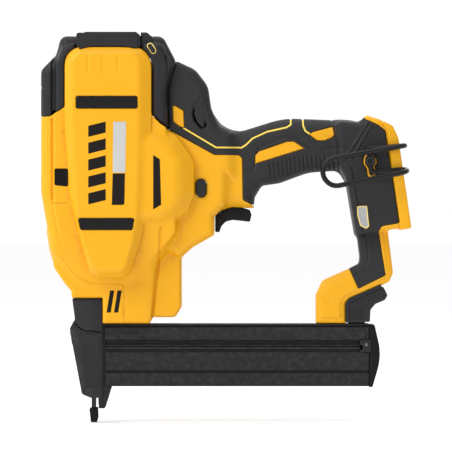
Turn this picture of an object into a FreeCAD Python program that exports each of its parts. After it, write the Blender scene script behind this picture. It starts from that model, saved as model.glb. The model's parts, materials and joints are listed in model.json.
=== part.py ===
import FreeCAD, Part
import math
import os

from FreeCAD import Vector

# Battery-powered narrow-crown fastener gun: a C-shaped body with the drive head in front,
# a horizontal grip, a battery foot at the back and a straight magazine underneath.
# Millimetres. X runs from the nose (-) to the battery (+), Y from left (-) to right (+), Z up.
# The origin is the centre of the contact tip's bottom face.

# ---- driving dimensions ----
WALL = 2.5                 # housing wall
SKIN = 1.6                 # soft grip layer
SEAM = 0.1                 # each half stops this far from the middle plane
GAP = 0.3                  # clearance between pieces that move past each other

HEAD_HALF = 30.0
WING_HALF = 33.0           # raised field on the side of the head
PANEL_HALF = 37.5
PANEL_FACE_HALF = 41.0
MOTOR_HALF = 38.5
NOSE_HALF = 20.0
WAIST_HALF = 23.0
HUMP_HALF = 23.0
GRIP_HALF = 17.0
FOOT_HALF = 29.5
RAIL_HALF = 33.5
NECK_HALF = 14.0

DRIVE_X = 4.2              # plane of the driver blade
STROKE = 63.0              # driver travel
BLADE_TIP_Z = 73.5         # blade tip at rest, just over the staple crowns
CARRIAGE_Z = (200.0, 262.0)
CARRIAGE_X = (2.0, 15.5)
FLYWHEEL_R = 26.0
FLYWHEEL_X = CARRIAGE_X[1] + GAP + FLYWHEEL_R
FLYWHEEL_Z = 185.0
ROLLER_R = 6.0
ROLLER_X = CARRIAGE_X[0] - GAP - ROLLER_R
ROD_R = 2.5
ROD_X = 9.0
ROD_Y = 14.0
PLATE_Y = (20.0, 23.0)     # frame plates, distance from the middle plane
PLATE_Z = (121.0, 274.0)

NOSE_BOTTOM_Z = 11.0       # bottom of the fixed nose
MAG_X = (9.0, 217.5)
MAG_Z = (28.5, 78.0)
MAG_SPLIT_Z = 60.0         # fixed upper channel above, sliding lower channel below
MAG_HALF = 12.5
STAPLE_SLOT_HALF = 4.2
CORE_HALF = 2.5

DOOR_PIVOT = (-4.9, 25.5)
LATCH_PIVOT = (-14.8, 64.0)
TRIGGER_PIVOT = (99.0, 166.0)
MAG_LATCH_PIVOT = (212.0, 86.0)
STALL_PIVOT = (-8.5, 300.2)
ARM_PIVOT = (-15.0, 164.0)
WHEEL_CENTRE = (60.5, 97.0)
BUTTON_CENTRE = (85.0, 185.0)
HOOK_SCREW = (217.5, 206.0)
HOOK_WIRE_R = 2.0
HOOK_HOLE_DEPTH = 8.0
END_SCREW = (211.5, 70.0)
SOLENOID_Z = 192.0
PIN_R = 1.5                # hinge pins of the trigger, lever, door and magazine latch
PIN_FIT = 0.06             # a turning piece's hole is this much larger than its pin
SMALL_PIN_R = 1.0          # pin of the jam latch

SCREWS = [(-26.6, 228.0), (-24.0, 163.0), (55.5, 144.5), (30.0, 96.0), (80.0, 262.0),
          (91.0, 222.0), (142.0, 220.0), (192.0, 222.0), (222.0, 222.0), (225.5, 166.0),
          (222.0, 122.0), (187.5, 95.0)]
SCREW_R = 2.0
BOSS_R = 4.0

# ---- side outlines: corners (x, z, corner radius) ----
HEAD = [(-41.0, 182, 30), (-41.0, 277.5, 6), (-29.5, 289.5, 5), (-25, 304.5, 6), (55, 304.5, 7),
        (65.5, 284.5, 8), (58.5, 262, 20), (59, 236, 5), (68, 150, 15), (45, 118, 15),
        (15, 109.5, 15), (-8, 109.5, 15), (-33, 134, 12)]
WING = [(-31.3, 171, 20), (-31.3, 283, 4), (-24, 299.5, 6), (53.5, 299.5, 6), (62, 284.5, 8),
        (57, 262, 20), (57.5, 236, 5), (66, 150, 15), (44, 119, 15), (15, 112, 15), (-8, 112, 15),
        (-25.3, 137, 10)]
PANEL = [(-22, 295.5, 10), (46, 295.5, 10), (46, 235, 60), (42, 175, 60), (38, 145, 25),
         (27, 116, 12), (0, 116, 12), (-11, 148, 40), (-18, 178, 60), (-22, 235, 60)]
PANEL_FACE = [(-16, 290, 8), (36.5, 290, 8), (36.5, 235, 50), (35, 164, 50), (31.5, 144, 12),
              (25, 120, 8), (0, 120, 8), (-9, 144, 30), (-13, 165, 60), (-16, 235, 60)]
MOTOR = [(30, 154, 0), (60, 154, 12), (74, 166, 10), (79.5, 180, 14), (79.5, 205, 16),
         (66, 226, 14), (50, 233, 4), (30, 236, 0)]
NOSE = [(-35, 150, 0), (-31, 122, 12), (-22, 109, 5), (-17.5, 104, 3), (-17, 98.5, 0.5),
        (7.3, 98.5, 0.5), (7.3, 78.4, 0.8), (41, 78.4, 2), (45, 83, 2), (65.5, 83, 3),
        (69.5, 90, 3), (69.5, 127, 3), (66, 160, 0)]
WAIST = [(50, 140, 0), (68.5, 129.5, 3), (78, 138, 6), (95.5, 148, 3), (95.5, 163, 1.5),
         (104, 172, 3), (106, 225, 3), (80, 235, 5), (50, 238, 0)]
HUMP = [(59, 245, 5), (58.5, 256, 20), (61.5, 279, 6), (66, 285, 3), (80.5, 278, 8),
        (90, 266, 10), (93, 248, 12), (99, 234, 6), (110, 228, 2), (110, 195, 2), (62, 195, 2)]
GRIP = [(84, 215, 2), (92, 240, 4), (107, 229.5, 14), (118, 230.5, 30), (150, 240.5, 60),
        (203, 238.5, 30), (222, 232, 4), (222, 180, 4), (201, 190, 6), (194, 199, 10),
        (170, 197.5, 40), (147, 189, 20), (133, 187, 5), (127.5, 178, 4), (126.5, 168.5, 1.2),
        (101.5, 170, 2), (88, 166, 2)]
FOOT = [(190, 238, 4), (209, 236.5, 3), (215, 242.5, 2.5), (226, 239, 4), (236, 232, 3),
        (246, 153.5, 2), (226, 151.5, 2), (207, 147, 2), (200, 189, 6), (194, 202, 4)]
RAIL = [(226, 238.5, 1), (235.5, 234, 5), (240, 224, 8), (250.2, 153.5, 1.5), (241.5, 152, 1),
        (231, 229, 3)]
RAIL_RECESS = [(234.5, 224), (250, 224), (262, 146), (245.6, 146)]
RAIL_GROOVE = [(234.5, 224), (237.0, 224), (248.1, 146), (245.6, 146)]
TERMINAL_WINDOW = [(227.7, 214.3), (238, 214.3), (246, 162.7), (233.7, 162.7)]
NECK = [(207, 158, 1), (231.6, 158, 1), (236.7, 118, 7), (233.5, 111, 3),
        (202, 97, 2), (199.3, 94, 2), (199.3, 78.3, 1.2), (175.7, 78.3, 1.2), (175.7, 101, 3),
        (181, 112, 6), (202, 121.5, 3), (210, 125.5, 3), (210.5, 131, 5)]
YELLOW_REAR = [(214, 260), (214, 239.3), (224.5, 234.5, 2), (230, 230, 4), (241, 157.5, 1.5),
               (226.5, 155, 2), (225, 150.5), (230.6, 116.2, 1.5), (209, 105.7), (202.2, 120.8),
               (150, 120.8), (150, 60), (262, 60), (262, 260)]
CAP_LIP = [(37.6, 300), (37.6, 307.5, 0.5), (42.5, 307.5, 2.5), (47, 303.5, 1), (47, 300)]
BARE_ZONE = [(40, 60), (40, 236), (60.5, 230.3), (94.5, 211), (117, 210), (117, 174), (132, 160),
             (132, 60)]
CAP_ZONE = [(-60, 240.6), (-33.5, 241.6), (-22.3, 248.6), (-22.3, 295.9), (46.3, 295.9),
            (46.3, 242.6), (53, 235.8), (62, 229.8), (62, 240), (60.6, 250), (62.2, 266),
            (67, 280), (73, 286), (73, 330), (-60, 330)]


# ---- construction helpers ----
def edge_direction(start, end):
    step = end - start
    return step.normalize()


def rounded_edges(points, radii, closed):
    """Straight edges through the points, with an arc of the given radius at each corner."""
    count = len(points)
    turns = []
    for i, here in enumerate(points):
        at_end = not closed and i in (0, count - 1)
        if radii[i] == 0 or at_end:
            turns.append((here, None, here))
            continue
        before = points[i - 1]
        after = points[(i + 1) % count]
        back = edge_direction(here, before)
        ahead = edge_direction(here, after)
        half_angle = back.getAngle(ahead) / 2
        room = 0.48 * min((before - here).Length, (after - here).Length)
        run = min(radii[i] / math.tan(half_angle), room)
        radius = run * math.tan(half_angle)
        bisector = (back + ahead).normalize()
        middle = here + bisector * (radius / math.sin(half_angle) - radius)
        turns.append((here + back * run, middle, here + ahead * run))
    edges = []
    for i, (start, middle, end) in enumerate(turns):
        if middle is not None:
            edges.append(Part.Arc(start, middle, end).toShape())
        following = turns[(i + 1) % count][0]
        last = i == count - 1
        if (closed or not last) and (following - end).Length > 1e-6:
            edges.append(Part.makeLine(end, following))
    return edges


def outline(corners):
    """Face in the XZ plane through corners (x, z) or (x, z, radius)."""
    points = [Vector(corner[0], 0, corner[1]) for corner in corners]
    radii = [corner[2] if len(corner) > 2 else 0.0 for corner in corners]
    return Part.Face(Part.Wire(rounded_edges(points, radii, True)))


def extrude_y(face, low, high):
    moved = face.copy()
    moved.translate(Vector(0, low, 0))
    return moved.extrude(Vector(0, high - low, 0))


def prism(corners, low, high):
    return extrude_y(outline(corners), low, high)


def both_sides(corners, low, high):
    """The same prism on the left and on the right of the middle plane."""
    return Part.makeCompound([prism(corners, low, high), prism(corners, -high, -low)])


def box(x, y, z):
    return Part.makeBox(x[1] - x[0], y[1] - y[0], z[1] - z[0], Vector(x[0], y[0], z[0]))


def cross_cylinder(centre, radius, low, high):
    """Cylinder along Y with its centre line at (x, z)."""
    return Part.makeCylinder(radius, high - low, Vector(centre[0], low, centre[1]), Vector(0, 1, 0))


def upright_cylinder(x, y, radius, low, high):
    return Part.makeCylinder(radius, high - low, Vector(x, y, low))


def ring(centre, outer, inner, low, high):
    return cross_cylinder(centre, outer, low, high).cut(cross_cylinder(centre, inner, low, high))


def fuse(shapes):
    shapes = list(shapes)
    return shapes[0].multiFuse(shapes[1:]).removeSplitter() if len(shapes) > 1 else shapes[0]


def mirror(shape):
    return shape.mirror(Vector(0, 0, 0), Vector(0, 1, 0))


def soften(solid, y, radius):
    """Rounds the rim of the face at this y, with a smaller radius where the first one is too large."""
    rim = [edge for edge in solid.Edges
           if all(abs(vertex.Point.y - y) < 1e-6 for vertex in edge.Vertexes)]
    for factor in (1.0, 0.7, 0.45, 0.25):
        try:
            rounded = solid.makeFillet(radius * factor, rim)
            if rounded.isValid():
                return rounded
        except Exception:
            continue
    return solid


def half_block(corners, half_width, radius):
    return soften(prism(corners, SEAM, half_width), half_width, radius)


def inset_block(corners, half_width, inset):
    face = outline(corners).makeOffset2D(-inset)
    return extrude_y(face, -1.0, half_width - inset)


def coil(x, y, low, high, radius, wire, turns):
    """Helical spring along Z."""
    height = high - low - 2 * wire
    spine = Part.makeHelix(height / turns, height, radius)
    section = Part.Wire(Part.makeCircle(wire, Vector(radius, 0, 0), Vector(0, 1, 0)))
    spring = Part.Wire(spine.Edges).makePipeShell([section], True, True)
    spring.translate(Vector(x, y, low + wire))
    return spring


def bent_wire(corners, radius):
    """Round wire through corners (x, y, z, bend radius)."""
    points = [Vector(*corner[:3]) for corner in corners]
    path = Part.Wire(rounded_edges(points, [corner[3] for corner in corners], False))
    section = Part.Wire(Part.makeCircle(radius, points[0], edge_direction(points[0], points[1])))
    return path.makePipeShell([section], True, False)


# ---- housing ----
def outer_half():
    blocks = [half_block(HEAD, HEAD_HALF, 6), half_block(WING, WING_HALF, 2.5),
              half_block(PANEL, PANEL_HALF, 4),
              half_block(PANEL_FACE, PANEL_FACE_HALF, 3), half_block(MOTOR, MOTOR_HALF, 5),
              half_block(NOSE, NOSE_HALF, 2), half_block(WAIST, WAIST_HALF, 4),
              half_block(HUMP, HUMP_HALF, 5), half_block(GRIP, GRIP_HALF, 5),
              half_block(FOOT, FOOT_HALF, 3), half_block(RAIL, RAIL_HALF, 1.5),
              half_block(NECK, NECK_HALF, 3)]
    return fuse(blocks)


def soft_half():
    """Grip layer over the hump, the handle and the battery foot."""
    covered = fuse([half_block(HUMP, HUMP_HALF, 5), half_block(GRIP, GRIP_HALF, 5),
                    half_block(FOOT, FOOT_HALF, 3), half_block(NECK, NECK_HALF, 3)])
    core = fuse([inset_block(HUMP, HUMP_HALF, SKIN), inset_block(GRIP, GRIP_HALF, SKIN),
                 inset_block(FOOT, FOOT_HALF, SKIN), inset_block(NECK, NECK_HALF, SKIN)])
    bare = [prism(BARE_ZONE, -1, 60), prism(HEAD, -1, WING_HALF), prism(MOTOR, -1, MOTOR_HALF),
            prism(WAIST, -1, WAIST_HALF), prism(RAIL, -1, RAIL_HALF), prism(YELLOW_REAR, -1, 60),
            prism(CAP_ZONE, -1, 60)]
    return covered.cut(core).cut(fuse(bare))


def cavity():
    inner = [inset_block(HEAD, HEAD_HALF, WALL), inset_block(WING, WING_HALF, WALL),
             inset_block(PANEL, PANEL_HALF, WALL),
             inset_block(PANEL_FACE, PANEL_FACE_HALF, WALL + 1), inset_block(MOTOR, MOTOR_HALF, WALL),
             inset_block(NOSE, NOSE_HALF, WALL), inset_block(WAIST, WAIST_HALF, WALL),
             inset_block(HUMP, HUMP_HALF, WALL + SKIN), inset_block(GRIP, GRIP_HALF, WALL + SKIN),
             inset_block(FOOT, FOOT_HALF, WALL + SKIN), inset_block(NECK, NECK_HALF, WALL + SKIN)]
    return fuse(inner)


def strip_outlines():
    upper = [(-12.5, 247.5, 1), (35, 247.5, 1), (35, 256.5, 1), (-12.5, 256.5, 1)]
    lower = [(-9, 152.5, 1), (31, 152.5, 1), (32.5, 161, 1), (-11, 161, 1)]
    return [upper, lower]


def trigger_slot():
    return box((94, 126), (-7.6, 7.6), (145, 176))


def common_cuts():
    """Openings that both halves share, in right-half coordinates."""
    grow = 0.2
    cuts = [trigger_slot(),
            box((-13, 7), (-13, 13), (94, 103)),
            box((5, 12), (-13, 13), (74, 103)),
            box((50, 75), (-7, 7), (WHEEL_CENTRE[1] - 4.4, WHEEL_CENTRE[1] + 4.4)),
            box((-29.9, -19.3), (30, 35), (186.3, 200.2)),
            cross_cylinder(TRIGGER_PIVOT, PIN_R + 0.02, -12.2, 12.2),
            prism(TERMINAL_WINDOW, -22, 22),
            prism(RAIL_RECESS, -25.5, 25.5),
            prism(RAIL_GROOVE, -28.5, 28.5)]
    button = [(BUTTON_CENTRE[0] - 4.3, 177.8, 4), (BUTTON_CENTRE[0] + 4.3, 177.8, 4),
              (BUTTON_CENTRE[0] + 4.3, 192.2, 4), (BUTTON_CENTRE[0] - 4.3, 192.2, 4)]
    cuts.append(prism(button, -60, 60))
    for strip in strip_outlines():
        wide = outline(strip).makeOffset2D(grow)
        cuts.append(extrude_y(wide, 39.2 - grow, 45))
    return cuts


def screw_depth(position):
    """Outer surface of the right half at a screw."""
    x, z = position
    if x < -15 or z < 150 and x < 70:
        return NOSE_HALF if z < 100 else WING_HALF
    if x < 95:
        return HUMP_HALF
    if x < 200 and z > 150:
        return GRIP_HALF
    return FOOT_HALF if z > 150 else NECK_HALF


def bosses():
    shapes = []
    for x, z in SCREWS:
        length = screw_depth((x, z)) - SKIN - 0.2
        shapes.append(cross_cylinder((x, z), BOSS_R, SEAM, length))
    hook_boss = cross_cylinder(HOOK_SCREW, 5.0, 14.0, FOOT_HALF)
    return shapes + [hook_boss]


def screw_holes(right):
    holes = []
    for x, z in SCREWS:
        depth = screw_depth((x, z))
        if right:
            holes.append(cross_cylinder((x, z), SCREW_R + 0.1, -1, depth + 5))
            holes.append(cross_cylinder((x, z), 3.8, depth - 3.2, depth + 8))
        else:
            holes.append(cross_cylinder((x, z), SCREW_R, -1, 12.0))
    return holes


def housing_half(right):
    shell = outer_half().cut(soft_half())
    shell = shell.cut(cavity())
    shell = fuse([shell] + bosses())
    shell = shell.cut(prism(CAP_ZONE, -1, 60))
    cuts = common_cuts() + screw_holes(right)
    cuts.append(cross_cylinder(HOOK_SCREW, SCREW_R, FOOT_HALF - HOOK_HOLE_DEPTH, 40))
    shell = shell.cut(Part.makeCompound(cuts))
    largest = max(shell.Solids, key=lambda solid: solid.Volume)
    return largest if right else mirror(largest)


def grip_overmold(right):
    skin = soft_half().cut(Part.makeCompound(common_cuts()[:1]))
    holes = [cross_cylinder(HOOK_SCREW, 5.3, 10, 40)]
    if right:
        for x, z in SCREWS:
            holes.append(cross_cylinder((x, z), 4.2, screw_depth((x, z)) - 6, 60))
    skin = skin.cut(Part.makeCompound(holes))
    solids = [solid for solid in skin.Solids if solid.Volume > 60]
    shape = Part.makeCompound(solids)
    return shape if right else mirror(shape)


def top_cap():
    """Cover over the top of the head, in one piece across both halves."""
    face = outline(CAP_ZONE).makeOffset2D(-0.2)
    half = fuse([half_block(HEAD, HEAD_HALF, 6), half_block(WING, WING_HALF, 2.5),
                 half_block(CAP_LIP, HEAD_HALF, 1.5)])
    half = half.cut(fuse([inset_block(HEAD, HEAD_HALF, WALL), inset_block(WING, WING_HALF, WALL)]))
    half = half.common(extrude_y(face, -1, 60))
    half = half.cut(box((-13.1, 37.4), (30.5, 40), (293, 310)))
    seam_strip = half.common(box((-60, 80), (-1, 4 * SEAM), (0, 400)))
    seam_strip.translate(Vector(0, -2 * SEAM, 0))
    whole = fuse([half, mirror(half), seam_strip])
    whole = whole.cut(cross_cylinder(STALL_PIVOT, PIN_R + PIN_FIT, -40, 40))
    return max(whole.Solids, key=lambda solid: solid.Volume)


def bumper_strips():
    shapes = []
    for strip in strip_outlines():
        for low, high in ((39.2, 41.6), (-41.6, -39.2)):
            shapes.append(prism(strip, low, high))
    return Part.makeCompound(shapes)


def housing_screws():
    shapes = []
    for x, z in SCREWS:
        depth = screw_depth((x, z))
        head = cross_cylinder((x, z), 3.6, depth - 3.0, depth - 0.6)
        shank = cross_cylinder((x, z), SCREW_R - 0.05, -10.0, depth - 3.0)
        socket = cross_cylinder((x, z), 1.6, depth - 2.2, depth)
        shapes.append(fuse([head, shank]).cut(socket))
    return Part.makeCompound(shapes)


# ---- controls ----
def stall_lever():
    x0, z0 = STALL_PIVOT
    knuckle_r = 4.2
    arm = [(x0, z0 + knuckle_r), (x0 + 2.5, 307.5, 1.2), (34, 307.5, 1.5), (37.1, 305, 1),
           (37.1, 296.1, 0.5), (x0, z0 - knuckle_r + 0.1)]
    body = prism(arm, -33.4, 33.4).fuse(cross_cylinder(STALL_PIVOT, knuckle_r, -33.4, 33.4))
    body = body.cut(box((-20, 40), (-30.8, 30.8), (280, 304.9)))
    body = body.cut(box((-20, x0 + 3.0), (-30.8, 30.8), (280, 310)))
    body = body.cut(cross_cylinder(STALL_PIVOT, PIN_R + PIN_FIT, -40, 40))
    return body.removeSplitter()


def stall_lever_pin():
    return cross_cylinder(STALL_PIVOT, PIN_R, -33.2, 33.2)


def trigger():
    shape = [(96, 150.5, 1.2), (96, 163, 2), (97.5, 169, 2), (103, 170.7, 3), (113.5, 171, 4),
             (123.5, 168, 2), (124.8, 164, 1.5), (123.6, 158.5, 1.2), (110, 160, 8),
             (104.5, 158.8, 6), (101, 155, 4), (99.3, 150.2, 1)]
    body = prism(shape, -7.0, 7.0)
    return body.cut(cross_cylinder(TRIGGER_PIVOT, PIN_R + PIN_FIT, -20, 20))


def trigger_pin():
    return cross_cylinder(TRIGGER_PIVOT, PIN_R, -12.0, 12.0)


def trigger_spring():
    return coil(119.0, 0, 171.6, 176.2, 1.6, 0.3, 3)


def trigger_switch():
    body = box((103, 122.6), (-6.5, 6.5), (176.5, 196))
    terminals = [box((x, x + 1.2), (-3, 3), (196, 200)) for x in (107, 113, 119)]
    return fuse([body] + terminals)


def lock_off_button():
    x, z = BUTTON_CENTRE
    pill = [(x - 4, z - 7, 3.9), (x + 4, z - 7, 3.9), (x + 4, z + 7, 3.9), (x - 4, z + 7, 3.9)]
    stem = prism(pill, -25.5, 19.8)
    neck = box((x - 9, x + 9), (-2, 16), (z - 9, z + 9)).common(prism(pill, -30, 30))
    return soften(stem.fuse(neck).removeSplitter(), -25.5, 0.8)


def depth_wheel():
    x, z = WHEEL_CENTRE
    wheel = upright_cylinder(x, 0, 8.6, z - 4, z + 4)
    for i in range(18):
        angle = i * 2 * math.pi / 18
        notch = upright_cylinder(x + 9 * math.cos(angle), 9 * math.sin(angle), 0.8, z - 5, z + 5)
        wheel = wheel.cut(notch)
    return wheel.cut(upright_cylinder(x, 0, 2.05, z - 5, z + 5))


def depth_screw():
    x, z = WHEEL_CENTRE
    return upright_cylinder(x, 0, 2.0, z - 11, z + 12)


# ---- nose ----
def nosepiece():
    """Fixed steel nose: back plate with the staple window, blade channel, hinge ears and foot."""
    plate = box((5.0, 6.8), (-11, 11), (12, 121))
    window = box((4, 8), (-STAPLE_SLOT_HALF + 0.4, STAPLE_SLOT_HALF - 0.4), (30, 73))
    rails = [box((3.6, 5.0), (low, low + 4.4), (14, 121)) for low in (3.4, -7.8)]
    cover = box((2.2, 3.6), (-7.8, 7.8), (78, 121))
    ear = [(3.6, 30), (3.6, 44), (-7.3, 36, 1), (-7.3, 23, 2), (-2.4, 23, 2), (-2.4, 30, 1)]
    ears = both_sides(ear, 5.3, 7.8)
    foot = prism([(3.9, NOSE_BOTTOM_Z), (9, NOSE_BOTTOM_Z, 1.5), (14.3, 28.2, 0.5), (3.9, 28.2)], -9, 9)
    backing = [box((6.8, MAG_X[0] - 0.1), (-11, 11), (28.2, 77.8)),
               box((8.9, MAG_X[0] + 2.7), (-10.4, 10.4), (28.2, MAG_SPLIT_Z - 0.4))]
    staple_way = box((6, 20), (-STAPLE_SLOT_HALF - 0.2, STAPLE_SLOT_HALF + 0.2), (30.7, 74.5))
    backing = fuse(backing).cut(staple_way)
    exit_slot = box((3.0, 5.2), (-3.4, 3.4), (5, 40))
    body = fuse([plate] + rails + [cover, foot, backing] + ears.Solids)
    body = body.cut(window).cut(exit_slot)
    return body.cut(cross_cylinder(DOOR_PIVOT, PIN_R + PIN_FIT, -20, 20)).removeSplitter()


def nose_shroud():
    shape = [(-16.7, 98.2, 1), (6.9, 98.2, 4), (6.9, 71.6, 0.5), (-9.2, 74.2, 2), (-14.6, 79.6, 1),
             (-14.8, 84, 1)]
    shell = prism(shape, -16, 16)
    below = [(-13.5, 83), (-9.5, 76.5), (6.9, 75), (8, 60), (-20, 60), (-20, 83)]
    shell = shell.cut(prism(below, -14.6, 14.6))
    inside = [(-14.2, 99), (8, 99), (8, 70), (-7.6, 70), (-7.6, 77), (-11.3, 84)]
    return shell.cut(prism(inside, -13.4, 13.4))


def nose_door():
    side = [(6.4, 19.5, 1), (-2, 19.5, 3), (-9.2, 22.5, 3), (-12.5, 40, 20), (-18.6, 72, 3),
            (-15, 77.5, 1), (-9.5, 73.2, 2), (6.4, 70.8, 0.5)]
    front_inner = [(8, 15), (-12, 15), (-12, 24.4), (-7.7, 24.4), (-7.7, 28), (-10, 41), (-15.8, 71),
                   (-13, 80), (8, 80)]
    body = prism(side, -14, 14)
    body = body.cut(prism(front_inner, -11.5, 11.5))
    web = prism([(-11.5, 43), (-14.5, 58), (2.6, 58), (2.6, 43)], -2, 2)
    plate = box((1.9, 3.3), (-5, 5), (31, 72))
    pocket = box((-30, -8), (-7.8, 7.8), (60.4, 90))
    body = body.cut(pocket)
    body = fuse([body, web, plate])
    body = body.cut(cross_cylinder(DOOR_PIVOT, PIN_R, -20, 20))
    body = body.cut(cross_cylinder(LATCH_PIVOT, SMALL_PIN_R + PIN_FIT, -10.3, 10.3))
    return max(body.removeSplitter().Solids, key=lambda solid: solid.Volume)


def nose_door_pin():
    return cross_cylinder(DOOR_PIVOT, PIN_R, -13.8, 13.8)


def jam_latch():
    shape = [(-17.3, 61.8, 1), (-18.9, 74, 2), (-15.4, 81, 1.5), (-12.8, 80, 1), (-12.6, 61.8, 1)]
    body = prism(shape, -7.5, 7.5)
    return body.cut(cross_cylinder(LATCH_PIVOT, SMALL_PIN_R + PIN_FIT, -10, 10))


def jam_latch_pin():
    return cross_cylinder(LATCH_PIVOT, SMALL_PIN_R, -10.0, 10.0)


def contact_trip():
    """Forked steel push rod: tip, two legs beside the nose, yoke and stem."""
    tip = box((-1.6, 1.6), (-3, 3), (3, 14))
    lower_bar = box((-1.6, 1.6), (-10.8, 10.8), (12.5, 18.5))
    legs = [box((-1.6, 1.6), (low, low + 2.4), (12.5, 88)) for low in (8.4, -10.8)]
    yoke = box((-10.2, 1.6), (-10.8, 10.8), (84, 88))
    stem = upright_cylinder(-8.0, 0, 2.0, 86, 128)
    return fuse([tip, lower_bar, yoke, stem] + legs)


def no_mar_pad():
    shape = [(-2.4, 0, 0.8), (2.4, 0, 0.8), (3.5, 3.5, 1), (3.2, 11.6, 0.8), (-1.2, 12.3, 0.6),
             (-3.6, 10.6, 1)]
    return prism(shape, -5.0, 5.0).cut(box((-1.7, 1.7), (-3.1, 3.1), (2.9, 20)))


def contact_trip_spring():
    return coil(-8.0, 0, 88.2, 120.6, 3.2, 0.45, 9)


# ---- drive ----
def driver_carriage():
    x0, x1 = CARRIAGE_X
    z0, z1 = CARRIAGE_Z
    body = prism([(x0, z0, 1), (x1, z0, 3), (x1, z1, 3), (x0, z1, 1)], -8.5, 8.5)
    wings = box((4.5, 13.5), (-18.5, 18.5), (z0, z0 + 14))
    slot = box((DRIVE_X - 0.5, DRIVE_X + 0.5), (-3.2, 3.2), (z0 - 1, z0 + 20))
    body = fuse([body, wings]).cut(slot)
    for side in (-1, 1):
        body = body.cut(upright_cylinder(ROD_X, side * ROD_Y, ROD_R + 0.08, z0 - 5, z1 + 5))
    return body


def driver_blade():
    return box((DRIVE_X - 0.5, DRIVE_X + 0.5), (-3.2, 3.2), (BLADE_TIP_Z, CARRIAGE_Z[0] + 20))


def guide_rods():
    return Part.makeCompound([upright_cylinder(ROD_X, side * ROD_Y, ROD_R, PLATE_Z[0] + 0.5, PLATE_Z[1] - 1)
                              for side in (-1, 1)])


def return_springs():
    return Part.makeCompound([coil(ROD_X, side * ROD_Y, 125.2, CARRIAGE_Z[0] - 0.2, 3.6, 0.5, 12)
                              for side in (-1, 1)])


def lower_bumper():
    top = CARRIAGE_Z[0] - STROKE - 0.4
    block = box((0.5, 15.5), (-8.5, 8.5), (125.1, top))
    return block.cut(box((DRIVE_X - 1.2, DRIVE_X + 1.2), (-4, 4), (100, 150)))


def upper_bumper():
    return box((3, 15), (-8.5, 8.5), (CARRIAGE_Z[1] + 0.3, 269.8))


def frame_plate(right):
    shape = [(-19, 150, 3), (-19, 178, 4), (-6, 196, 6), (-3, PLATE_Z[1], 4), (24, PLATE_Z[1], 4),
             (34, 224, 10), (58, 206, 8), (58, 164, 8), (30, 140, 10), (26, PLATE_Z[0], 3),
             (-12, PLATE_Z[0], 3)]
    plate = prism(shape, PLATE_Y[0], PLATE_Y[1])
    plate = plate.cut(cross_cylinder((FLYWHEEL_X, FLYWHEEL_Z), 8.0, 0, 40))
    plate = plate.cut(prism([(4, 216, 3), (18, 216, 3), (18, 255, 3), (4, 255, 3)], 0, 40))
    plate = plate.cut(cross_cylinder(ARM_PIVOT, 2.05, 0, 40))
    return plate if right else mirror(plate)


def frame_spacers():
    """Cross pieces that join the plates and hold the guide rods."""
    low = box((-12, 22), (-20, 20), (PLATE_Z[0], 125))
    high = box((0, 20), (-20, 20), (270, PLATE_Z[1]))
    cuts = [box((DRIVE_X - 1.5, DRIVE_X + 1.5), (-4.5, 4.5), (100, 150)),
            upright_cylinder(-8.0, 0, 2.3, 100, 150)]
    for side in (-1, 1):
        cuts.append(upright_cylinder(ROD_X, side * ROD_Y, ROD_R, 100, 300))
    return Part.makeCompound([low, high]).cut(Part.makeCompound(cuts))


def flywheel():
    centre = (FLYWHEEL_X, FLYWHEEL_Z)
    rim = ring(centre, FLYWHEEL_R, 20.5, -9, 9)
    web = ring(centre, 21, 4.0, 9, 11.5)
    hub = ring(centre, 7.0, 4.0, 9, 15)
    wheel = fuse([rim, web, hub])
    for offset in (-4.5, 0, 4.5):
        groove = ring(centre, FLYWHEEL_R + 1, FLYWHEEL_R - 0.8, offset - 0.7, offset + 0.7)
        wheel = wheel.cut(groove)
    return wheel


def stator():
    centre = (FLYWHEEL_X, FLYWHEEL_Z)
    core = ring(centre, 11, 4.6, -8, 7)
    sleeve = ring(centre, 7.5, 4.6, -19.9, -8)
    flange = ring(centre, 14, 4.6, -19.9, -17.5)
    teeth = []
    for i in range(9):
        tooth = box((FLYWHEEL_X + 9, FLYWHEEL_X + 20), (-8, 7), (FLYWHEEL_Z - 2, FLYWHEEL_Z + 2))
        tooth.rotate(Vector(FLYWHEEL_X, 0, FLYWHEEL_Z), Vector(0, 1, 0), i * 40)
        teeth.append(tooth)
    return fuse([core, sleeve, flange] + teeth)


def coil_windings():
    shapes = []
    for i in range(9):
        winding = box((FLYWHEEL_X + 12, FLYWHEEL_X + 18), (-8.2, 7.2), (FLYWHEEL_Z - 3.4, FLYWHEEL_Z + 3.4))
        winding = winding.cut(box((FLYWHEEL_X + 5, FLYWHEEL_X + 25), (-8.0, 7.0),
                                  (FLYWHEEL_Z - 2, FLYWHEEL_Z + 2)))
        winding.rotate(Vector(FLYWHEEL_X, 0, FLYWHEEL_Z), Vector(0, 1, 0), i * 40)
        shapes.append(winding)
    return Part.makeCompound(shapes)


def motor_axle():
    return cross_cylinder((FLYWHEEL_X, FLYWHEEL_Z), 4.0, -23.5, 23.5)


def motor_bearings():
    centre = (FLYWHEEL_X, FLYWHEEL_Z)
    return Part.makeCompound([ring(centre, 8.0, 4.05, 20, 23.4), ring(centre, 8.0, 4.05, -23.4, -20)])


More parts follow.
